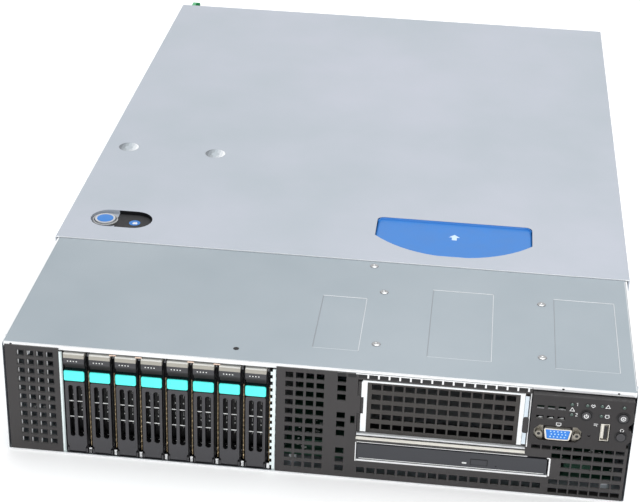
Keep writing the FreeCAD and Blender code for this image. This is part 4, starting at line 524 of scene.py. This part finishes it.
rings = [raised(circle(radius * mm, 32), [(0, 0), (0.1 * mm, 0.4 * mm), (0.75 * mm, 0.4 * mm), (0.85 * mm, 0)],
                (x * mm, face, z * mm), ring=True) for x, z, radius, cap in button_places.values()]
for name, (x, z, radius, cap) in button_places.items():
    cap_top = raised(circle(cap * mm, 32), [(0, 0), (0, 0.02 * mm), (0.3 * mm, 0.1 * mm), (1.2 * mm, 0.14 * mm)],
                     (x * mm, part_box(name + "_button")[0].y, z * mm))
    fitted(mesh_piece(name + "_button_top", [cap_top]), button_grey, name + "_button")
fitted(mesh_piece("button_rings", rings), gap_shade_and_ring_black, "chassis")
lens_places = ((170.0, 77.7), (170.3, 69.8), (179.9, 77.7), (189.4, 78.1), (189.5, 70.5), (203.7, 78.3))
lenses = [raised(circle(1.15 * mm, 16), [(0, 0), (0, 0.1 * mm), (0.4 * mm, 0.3 * mm), (0.9 * mm, 0.4 * mm)],
                 (x * mm, face, z * mm)) for x, z in lens_places]
lens_rims = [raised(circle(1.75 * mm, 20), [(0, 0), (0.05 * mm, 0.15 * mm), (0.4 * mm, 0.15 * mm), (0.5 * mm, 0)], (x * mm, face, z * mm), ring=True)
             for x, z in lens_places]
fitted(mesh_piece("lens_rims", lens_rims), gap_shade_and_ring_black, "chassis")
lens_green = finish("lens_green", (0.02, 0.06, 0.045), 0.12, drift=0.1, coat=0.6)
fitted(mesh_piece("light_lenses", lenses), lens_green, "chassis")


def stroke(points, width, origin, lift=0.05 * mm, closed=False, upward=up):
    """A printed line of one width along a path, with mitred corners; points in mm from the origin."""
    path = np.asarray(points, float) * mm
    if closed:
        return raised(path + 0.0, [(-width / 2, 0), (-width / 2, lift), (width / 2, lift), (width / 2, 0)], origin, upward=upward, ring=True)
    run = np.diff(path, axis=0)
    run /= np.linalg.norm(run, axis=1)[:, None]
    ends = np.concatenate([run[:1], run]) + np.concatenate([run, run[-1:]])
    ends /= np.linalg.norm(ends, axis=1)[:, None]
    side = np.stack([ends[:, 1], -ends[:, 0]], axis=1) * width / 2
    return raised(np.concatenate([path + side, (path - side)[::-1]]), [(0, 0), (0, lift)], origin, upward=upward)


def arc(radius, start, stop, steps=16):
    turn = np.radians(np.linspace(start, stop, steps))
    return np.stack([radius * np.cos(turn), radius * np.sin(turn)], axis=1)


line = 0.42 * mm


def at(x, z, y=None):
    return (x * mm, face if y is None else y, z * mm)


signs = [
    stroke([(-0.5, 0.6), (0.15, 1.2), (0.15, -1.2)], line, at(173.3, 78.1)),
    stroke([(-1.5, -1.2), (1.5, -1.2), (0, 1.4)], line, at(170.3, 73.9), closed=True),
    stroke([(-0.6, 0.7), (0, 1.2), (0.6, 0.6), (-0.6, -1.1), (0.7, -1.1)], line, at(173.4, 70.1)),
    stroke([(0, -1.3), (1.3, 0), (0.7, 0.9), (0, 0.4), (-0.7, 0.9), (-1.3, 0)], line, at(183.6, 77.9), closed=True),
    stroke([(-1.4, -1.1), (1.4, -1.1), (0, 1.3)], line, at(193.2, 78.1), closed=True),
    stroke([(-1.3, 0.5), (1.3, 0.5)], line, at(193.3, 71.2)),
    stroke(rounded(2.6, 2.2, 1.0, 3), line, at(193.3, 70.4), closed=True),
    stroke([(-1.5, -0.9), (1.5, -0.9), (1.5, 0.9), (-1.5, 0.9)], line, at(162.6, 61.6), closed=True),
    stroke([(-0.9, -1.5), (0.9, -1.5)], line, at(162.6, 61.6)),
    stroke([(-1.4, 0.8), (1.4, 0.8)], line, at(186.7, 63.3)),
    stroke([(-1.4, -0.2), (0.6, -0.2), (0.6, -1.2)], line, at(186.7, 63.3)),
    stroke(arc(1.1, 60, 390, 14), line, at(204.0, 60.6)),
]
power_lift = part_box("power_button")[0].y - 0.13 * mm
id_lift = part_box("id_button")[0].y - 0.13 * mm
power_sign = [stroke(arc(1.3, 125, 415, 18), 0.6 * mm, (179.8 * mm, power_lift, 69.9 * mm)),
              stroke([(0, 0.0), (0, 1.9)], 0.6 * mm, (179.8 * mm, power_lift, 69.9 * mm))]
id_sign = [stroke(arc(1.45, 0, 348, 18), 0.6 * mm, (203.9 * mm, id_lift, 70.2 * mm), closed=False),
           raised(circle(0.6 * mm, 12), [(0, 0), (0, 0.05 * mm)], (203.9 * mm, id_lift, 70.2 * mm))]
fitted(mesh_piece("panel_signs", signs), print_white, "chassis")
fitted(mesh_piece("power_sign", power_sign), print_white, "power_button")
fitted(mesh_piece("id_sign", id_sign), print_white, "id_button")

slats = []
for x in (149.8, 156.8, 163.8):
    slats.append(plate(4.5 * mm, 0.45 * mm, 0.3 * mm, (x * mm, face + 1.95 * mm, 72.35 * mm), bevel=0.1 * mm, corner=0.1 * mm))
    slats.append(stroke([(-1.6, -0.6), (0.2, 0.2), (1.8, 0.2)], 0.55 * mm, (x * mm, face + 1.95 * mm, 65.0 * mm), lift=0.3 * mm))
fitted(mesh_piece("panel_slats", slats), steel_and_highlight_white, "chassis")

socket_shell = finish("socket_shell", (0.74, 0.71, 0.64), 0.3, metal=0.6, drift=0.1, patch=300.0)
screw_metal = (0.30, 0.28, 0.24)
video_shell = finish("video_shell", (0.74, 0.71, 0.64), 0.3, metal=0.6, drift=0.1, patch=300.0, zones=[
    ((0.02, 0.017, 0.018), {"Y": (front - 2.3 * mm, front + 14 * mm)}),
    (screw_metal, {"X": (147 * mm, 152.8 * mm)}), (screw_metal, {"X": (172.4 * mm, 178 * mm)})])
video_low, video_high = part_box("video_socket")
dress("video_socket", video_shell)
# painted light: the blue insert glows a little
video_blue = finish("video_blue", (0.022, 0.20, 0.68), 0.4, drift=0.06, patch=400.0, glow=0.08)
video_middle = (162.6 * mm, video_low.y, 54.0 * mm)
video_outline = np.array([(8.2, 3.1), (7.4, 3.8), (-7.4, 3.8), (-8.2, 3.1), (-7.1, -3.1), (-6.3, -3.8), (6.3, -3.8), (7.1, -3.1)]) * mm
shell_rim = raised(video_outline * 1.12, [(0, -0.4 * mm), (0, 0.05 * mm), (0.25 * mm, 0.12 * mm), (0.75 * mm, 0.12 * mm), (0.75 * mm, -0.4 * mm)],
                   (162.6 * mm, face - 1.0 * mm, 54.0 * mm), ring=True)
insert = raised(video_outline, [(0.15 * mm, -1.2 * mm), (0.15 * mm, 0.0), (0.4 * mm, 0.1 * mm)], (162.6 * mm, face - 0.85 * mm, 54.0 * mm))
fitted(mesh_piece("video_insert", [insert]), video_blue, "chassis")
fitted(mesh_piece("video_rim", [shell_rim]), socket_shell, "chassis")
pins = [raised(circle(0.5 * mm, 8), [(0, 0), (0, 0.06 * mm)],
               ((162.6 + (column - 2) * 2.35 + (0.6 if row == 1 else 0)) * mm, face - 0.95 * mm, (56.1 - 2.05 * row) * mm))
        for row in range(3) for column in range(5)]
pin_pale = finish("pin_pale", (0.55, 0.78, 0.98), 0.4, drift=0.05, patch=400.0)
fitted(mesh_piece("video_pin_holes", pins), pin_pale, "chassis")
# painted shade: dark discs in the jackscrews' holes and a dark plate in the serial-bus socket's mouth
screw_holes = [raised(circle(1.1 * mm, 16), [(0, 0), (0, 0.04 * mm)], (x * mm, video_low.y, 54.0 * mm)) for x in (150.1, 175.1)]
usb_mouth_shade = plate(2.2 * mm, 10.6 * mm, 0.04 * mm, (193.6 * mm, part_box("usb_socket")[0].y, 57.7 * mm), bevel=0.02 * mm, corner=0.3 * mm)
fitted(mesh_piece("socket_hole_shades", screw_holes + [usb_mouth_shade]), gap_shade_and_ring_black, "chassis")
dress("usb_socket", socket_shell)


# ------------------------------------------------------------------ sliding top cover
# Zinc-coated sheet, folded down at both sides. It slides to the rear; a moulded blue pad lies in
# the finger recess and a printed label beside the release button shows a blue dot and a padlock.
cover_low, cover_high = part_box("top_cover")
# painted highlight along the cover's front edge; painted shade, near-black, on the release pocket's walls beside the
# label; the grip recess's walls take the pad's blue, painted darker as shade
cover_zinc = finish("cover_zinc", (0.43, 0.485, 0.53), 0.46, metal=0.4, drift=0.06, patch=7.0, other=(0.495, 0.515, 0.58), zones=[
    (edge_highlight_white, {"NY": to_front, "Y": (front + 154 * mm, front + 156 * mm), "Z": (86.5 * mm, 87.4 * mm)}),
    ((0.006, 0.006, 0.008), {"X": (-176.4 * mm, -147.8 * mm), "Y": (front + 176 * mm, front + 206 * mm), "Z": (84 * mm, 87.1 * mm)}),
    ((0.02, 0.10, 0.32), {"Y": (front + 168 * mm, front + 228 * mm), "X": (23 * mm, 145 * mm), "Z": (80 * mm, 87.2 * mm)})])
dress("top_cover", cover_zinc)
touch_blue = finish("touch_blue", (0.018, 0.19, 0.585), 0.42, drift=0.06, patch=60.0, coat=0.05)
grip_rear, grip_side, grip_nose, grip_half = 227.5, 196.5, 169.0, 60.0
nose_radius = (grip_half ** 2 + (grip_side - grip_nose) ** 2) / (2 * (grip_side - grip_nose))
pad_x = np.linspace(-1, 1, 61)[:, None] * (grip_half - 0.6)
pad_front = grip_nose + nose_radius - np.sqrt(nose_radius ** 2 - pad_x ** 2)
corner = np.clip(np.abs(pad_x) - (grip_half - 5.6), 0, 5)
pad_rear = grip_rear - 5.6 + np.sqrt(25 - corner ** 2)
pad_y = pad_front + np.linspace(0, 1, 25)[None, :] * (pad_rear - pad_front)


def grip_height(y_mm):
    """Height of the pad's face, which falls 1.5 mm from the nose to the rear; the pad is thicker there."""
    return cover_high.z - 0.04 * mm - 1.5 * mm * (y_mm - grip_nose) / (grip_rear - grip_nose)


grip_x = 84.0
pad_top = grip_height(pad_y)
pad_y = np.concatenate([pad_y, pad_y[:, -1:] + 0.25], axis=1)
pad_top = np.concatenate([pad_top, np.full((61, 1), cover_high.z - 0.12 * mm)], axis=1)
pad_points = np.stack([(grip_x + pad_x + 0 * pad_y) * mm, front + pad_y * mm, pad_top], axis=-1).reshape(-1, 3)
pad_quads = [(r * 26 + c, (r + 1) * 26 + c, (r + 1) * 26 + c + 1, r * 26 + c + 1) for r in range(60) for c in range(25)]
grip_pad = mesh_piece("grip_pad", [(pad_points, pad_quads)])
thick = grip_pad.modifiers.new("moulding", "SOLIDIFY")
thick.thickness = 0.28 * mm
fitted(grip_pad, touch_blue, "top_cover")
arrow = [(-1.9, -4.5), (1.9, -4.5), (1.9, 0.2), (4.3, 0.2), (0, 5.0), (-4.3, 0.2), (-1.9, 0.2)]
arrow_points, arrow_faces = raised(np.array(arrow) * mm, [(0, 0), (0, 0.05 * mm)],
                                   ((grip_x + 0.6) * mm, front + 203 * mm, 0), upward=back)
arrow_points[:, 2] += grip_height((arrow_points[:, 1] - front) / mm)
print_pale = finish("print_pale", (0.62, 0.78, 0.95), 0.5, drift=0.05, patch=300.0)
fitted(mesh_piece("grip_arrow", [(arrow_points, arrow_faces)]), print_pale, "top_cover")
label_black = finish("label_black", (0.006, 0.006, 0.008), 0.65, drift=0.1, patch=300.0)
pocket_floor = cover_high.z - 3.0 * mm
label_left, label_middle, label_radius = -176.2, 191.0, 13.3
label_outline = np.concatenate([arc(label_radius, -90, 90, 25) + [-161.4 - label_left, 0], [[0, label_radius], [0, -label_radius]]])
label = raised(label_outline * mm, [(0, 0), (0, 0.12 * mm)], (label_left * mm, front + label_middle * mm, pocket_floor), upward=back)
fitted(mesh_piece("release_label", [label]), label_black, "top_cover")
dot = raised(circle(4.3 * mm, 32), [(0, 0), (0, 0.06 * mm)], (-161.8 * mm, front + 191 * mm, pocket_floor + 0.12 * mm), upward=back)
fitted(mesh_piece("label_dot", [dot]), touch_blue, "top_cover")
lock_origin = (-161.4 * mm, front + 190.2 * mm, pocket_floor + 0.18 * mm)
lock = [raised(rounded(3.6 * mm, 2.6 * mm, 0.4 * mm, 2), [(0, 0), (0, 0.05 * mm)], lock_origin, upward=back),
        stroke(arc(1.1, 0, 180, 10) + [0, 1.2], 0.5 * mm, lock_origin, upward=back)]
fitted(mesh_piece("label_padlock", lock), print_white, "top_cover")
guard = raised(circle(10.2 * mm, 48), [(0, 0), (0.2 * mm, 1.6 * mm), (0.6 * mm, 2.0 * mm), (1.3 * mm, 2.0 * mm), (1.7 * mm, 1.6 * mm), (1.8 * mm, 0)],
               (-184.8 * mm, front + 191 * mm, pocket_floor), upward=back, ring=True)
fitted(mesh_piece("release_guard_ring", [guard]), rivet_steel, "top_cover")


def dish(x, y, radius=8.35, depth=0.52, rings=20, sides=48):
    """Round pressed dish: height -depth * (1 - s^2) * (1 + 0.25 * s^2) over the share s of the radius, drawn with a steep rim."""
    share = np.linspace(0, 1, rings)[:, None] ** 0.7
    turn = np.arange(sides)[None, :] * 2 * math.pi / sides
    fall = -depth * np.clip((1 - share) / 0.6, 0, 1) ** 0.7 + 0 * turn
    points = np.stack([x + radius * share * np.cos(turn), front / mm + y + radius * share * np.sin(turn), fall], axis=-1)[1:]
    points = np.concatenate([points.reshape(-1, 3), [[x, front / mm + y, -depth]]]) * mm + [0, 0, cover_high.z - 0.02 * mm]
    faces = grid_faces(rings - 1, sides)[:, ::-1].tolist()
    faces += [(len(points) - 1, side, (side + 1) % sides) for side in range(sides)]
    return points, faces


# painted shade and highlight: dimple faces that look to the right are darker, those that look to the left lighter
dish_zinc_shading = finish("dish_zinc_shading", (0.455, 0.505, 0.545), 0.35, metal=0.5, drift=0.06, patch=40.0, zones=[
    ((0.36, 0.40, 0.43), {"NX": (0.02, 0.06)}), ((0.27, 0.30, 0.33), {"NX": (0.06, 0.09)}), ((0.18, 0.20, 0.22), {"NX": (0.09, 1.1)}),
    ((0.58, 0.62, 0.66), {"NX": (-0.06, -0.02)}), ((0.74, 0.77, 0.80), {"NX": (-0.09, -0.06)}), ((0.90, 0.92, 0.94), {"NX": (-1.1, -0.09)})])
dishes = mesh_piece("cover_dimples", [dish(-194.6, 323.0), dish(-120.6, 322.0)])
fitted(dishes, dish_zinc_shading, "top_cover")


# ------------------------------------------------------------------ cover release button
# A silver-painted push button in the cover's pocket, with a blue touch spot that says it may be
# pressed by hand. It rides on the cover and sinks 3 mm.
button_low, button_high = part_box("cover_release_button")
button_silver = finish("button_silver", (0.55, 0.57, 0.60), 0.35, metal=0.5, drift=0.08, patch=200.0)
dress("cover_release_button", button_silver)
spot = raised(circle(6.3 * mm, 40), [(0, 0), (0, 0.15 * mm), (0.6 * mm, 0.3 * mm), (4 * mm, 0.36 * mm)],
              ((button_low.x + button_high.x) / 2, (button_low.y + button_high.y) / 2, button_high.z - 0.01 * mm), upward=back)
fitted(mesh_piece("release_spot", [spot]), touch_blue, "cover_release_button")


# ------------------------------------------------------------------ rear end
# Two hot-swap power supplies in one bay, with fixed black loop handles and green latches, the
# mains inlets, the slot covers and the row of sockets on the system board, each in its metal shell.
rear = tray_high.y
inlet_black = (0.012, 0.012, 0.014)
inlet_bay = {"X": (-147.3 * mm, -122.3 * mm), "Y": (rear - 20 * mm, rear - 0.3 * mm)}
supply_zinc = finish("supply_zinc", (0.46, 0.50, 0.54), 0.4, metal=0.5, drift=0.08, patch=18.0, zones=[
    (inlet_black, {"Y": (rear + 0.3 * mm, rear + 30 * mm)}),
    (inlet_black, {**inlet_bay, "Z": (14.6 * mm, 31.4 * mm)}), (inlet_black, {**inlet_bay, "Z": (55.8 * mm, 72.6 * mm)})])
latch_green = finish("latch_green", (0.05, 0.42, 0.16), 0.38, drift=0.08, patch=120.0)
cover_steel = finish("cover_steel", (0.46, 0.50, 0.54), 0.38, metal=0.5, drift=0.08, patch=30.0)
socket_metal = finish("socket_metal", (0.70, 0.69, 0.66), 0.3, metal=0.7, drift=0.1, patch=300.0, zones=[
    (inlet_black, {"Y": (rear - 30 * mm, rear + 0.2 * mm)})])
plug_brass = finish("plug_brass", (0.70, 0.50, 0.18), 0.3, metal=0.8, drift=0.1, patch=300.0)
light_green = finish("light_green", (0.10, 0.55, 0.20), 0.25, drift=0.08, patch=300.0, coat=0.3)
light_amber = finish("light_amber", (0.75, 0.40, 0.06), 0.25, drift=0.08, patch=300.0, coat=0.3)
serial_teal = finish("serial_teal", (0.05, 0.40, 0.38), 0.4, drift=0.06, patch=400.0)


def rearward(width, height, lift, x, y, z, **shape):
    """A plate whose face looks to the rear; places in mm, y from the rear wall."""
    return plate(width * mm, height * mm, lift * mm, (x * mm, rear + y * mm, z * mm), across=-right, **shape)


for level, bottom in (("lower", 3.2), ("upper", 44.4)):
    supply = "psu_" + level
    dress(supply, supply_zinc)
    dress("psu_latch_" + level, latch_green)
    blades = [rearward(1.6, 3.6, 0.3, -147 + dx, -5.5, bottom + 19.8 + dz, bevel=0.2 * mm) for dx, dz in ((5.2, -2.0), (12.2, 2.0), (19.2, -2.0))]
    fitted(mesh_piece(supply + "_inlet_blades", blades), plug_brass, supply)
    status = raised(circle(1.6 * mm, 20), [(0, 0), (0, 0.2 * mm), (0.5 * mm, 0.5 * mm), (1.2 * mm, 0.6 * mm)],
                    (-109.5 * mm, rear, (bottom + 30) * mm), across=-right)
    fitted(mesh_piece(supply + "_status_light", [status]), light_green, supply)
dress("rear_sockets", socket_metal)
dress("slot_covers", cover_steel)
fitted(mesh_piece("network_lights_green", [rearward(2.2, 1.3, 0.2, x - 5, 0.6, 20.6) for x in (-76, -58.5)]), light_green, "chassis")
fitted(mesh_piece("network_lights_amber", [rearward(2.2, 1.3, 0.2, x + 5, 0.6, 20.6) for x in (-76, -58.5)]), light_amber, "chassis")
rear_video = raised(video_outline * 0.97, [(0.1 * mm, -0.9 * mm), (0.1 * mm, 0.0), (0.4 * mm, 0.1 * mm)], (-9 * mm, rear + 1.75 * mm, 14.5 * mm), across=-right)
rear_serial = raised(video_outline * 0.97, [(0.1 * mm, -0.9 * mm), (0.1 * mm, 0.0), (0.4 * mm, 0.1 * mm)], (25 * mm, rear + 1.75 * mm, 14.5 * mm), across=-right)
fitted(mesh_piece("rear_video_insert", [rear_video]), video_blue, "chassis")
fitted(mesh_piece("rear_serial_insert", [rear_serial]), serial_teal, "chassis")
rear_pins = [raised(circle(0.5 * mm, 8), [(0, 0), (0, 0.06 * mm)], ((x + (column - 2) * 2.35) * mm, rear + 1.84 * mm, (16.5 - 2.0 * row) * mm), across=-right)
             for x, rows in ((-9, 3), (25, 2)) for row in range(rows) for column in range(5)]
fitted(mesh_piece("rear_pins", rear_pins), pin_pale, "chassis")
cover_screws = [raised(circle(2.8 * mm, 24), [(0, 0), (0, 0.6 * mm), (0.5 * mm, 1.1 * mm), (1.5 * mm, 1.2 * mm)], (x * mm, rear, z * mm), across=-right)
                for x, z in ((-95.5, 66.0), (200, 15), (-88, 40), (60, 15))]
fitted(mesh_piece("rear_screws", cover_screws), rivet_steel, "chassis")


# ------------------------------------------------------------------ inside
# Moulded fan housings with bladed rotors, the green boards, aluminium heat sinks and the memory.
fan_black = finish("fan_black", (0.03, 0.03, 0.033), 0.45, drift=0.12, grain=2600.0, bump=0.1)
dress("fan_bank", fan_black)
for number in (1, 2, 3):
    dress("fan_rotor_%d" % number, fan_black)
for node in ("system_board", "interface_board", "memory_modules"):
    dress(node, board_green)
sink_metal = finish("sink_metal", (0.60, 0.61, 0.62), 0.35, metal=0.8, drift=0.08, patch=40.0, stretch=(1, 1, 8))
dress("heat_sinks", sink_metal)


# ------------------------------------------------------------------ floor, light and camera
# A pale studio floor in soft light: a broad lamp behind and to the left, a weaker one in front.
def seen_straight(tree):
    """1 for camera, glossy and transmission rays, else 0, so that what it drives casts no light on the server."""
    ray = wired(tree, "ShaderNodeLightPath")
    kinds = ("Is Camera Ray", "Is Glossy Ray", "Is Transmission Ray")
    total = ray.outputs[kinds[0]]
    for kind in kinds[1:]:
        total = wired(tree, "ShaderNodeMath", {"operation": "ADD", "use_clamp": True}, i0=total, i1=ray.outputs[kind]).outputs[0]
    return total


floor_points = np.array([(-6, -6, 0), (6, -6, 0), (6, 6, 0), (-6, 6, 0)], float)
floor = mesh_piece("floor", [(floor_points, [(0, 1, 2, 3)])])
floor_paint = finish("floor_paint", (0.80, 0.80, 0.80), 0.6, drift=0.01, patch=2.0, bump=0.0)
floor_shader = floor_paint.node_tree.nodes["Principled BSDF"]
floor_shader.inputs["Emission Color"].default_value = (1, 1, 1, 1)
floor_glow = wired(floor_paint.node_tree, "ShaderNodeMath", {"operation": "MULTIPLY"}, i0=seen_straight(floor_paint.node_tree), i1=0.38)
floor_paint.node_tree.links.new(floor_glow.outputs[0], floor_shader.inputs["Emission Strength"])
floor.data.materials.append(floor_paint)

world = bpy.data.worlds.new("studio")
bpy.context.scene.world = world
world.use_nodes = True
sky = world.node_tree
soft = sky.nodes["Background"]
soft.inputs["Color"].default_value = (0.96, 0.98, 1.0, 1)
soft.inputs["Strength"].default_value = 0.62
white = wired(sky, "ShaderNodeBackground", Color=(1, 1, 1, 1), Strength=1.0)
mixed = wired(sky, "ShaderNodeMixShader", i0=seen_straight(sky), i1=soft.outputs[0], i2=white.outputs[0])
sky.links.new(mixed.outputs[0], sky.nodes["World Output"].inputs["Surface"])


def lamp(name, place, target, size, watts):
    light = bpy.data.lights.new(name, "AREA")
    light.shape, light.size, light.energy = "SQUARE", size, watts
    holder = bpy.data.objects.new(name, light)
    bpy.context.scene.collection.objects.link(holder)
    aim = Vector(target) - Vector(place)
    holder.matrix_world = Matrix.Translation(place) @ aim.to_track_quat("-Z", "Y").to_matrix().to_4x4()
    return holder


lamp("key_lamp", (0.3, 0.5, 2.7), (0, 0.1, 0), 2.2, 44)
lamp("front_lamp", (0.5, -2.7, 0.55), (0, -0.3, 0.04), 1.4, 28)

lens = bpy.data.cameras.new("camera")
lens.lens, lens.sensor_width = 92.1, 36.0
lens.clip_start, lens.clip_end = 0.05, 30.0
camera = bpy.data.objects.new("camera", lens)
bpy.context.scene.collection.objects.link(camera)
turn = (Matrix.Rotation(math.radians(5.45), 4, "Z") @ Matrix.Rotation(math.radians(61.96), 4, "X")
        @ Matrix.Rotation(math.radians(1.83), 4, "Z"))
camera.matrix_world = Matrix.Translation((0.0882, -1.2549, 0.6641)) @ turn
bpy.context.scene.camera = camera

bpy.context.scene.view_settings.view_transform = "Standard"
bpy.context.view_layer.update()
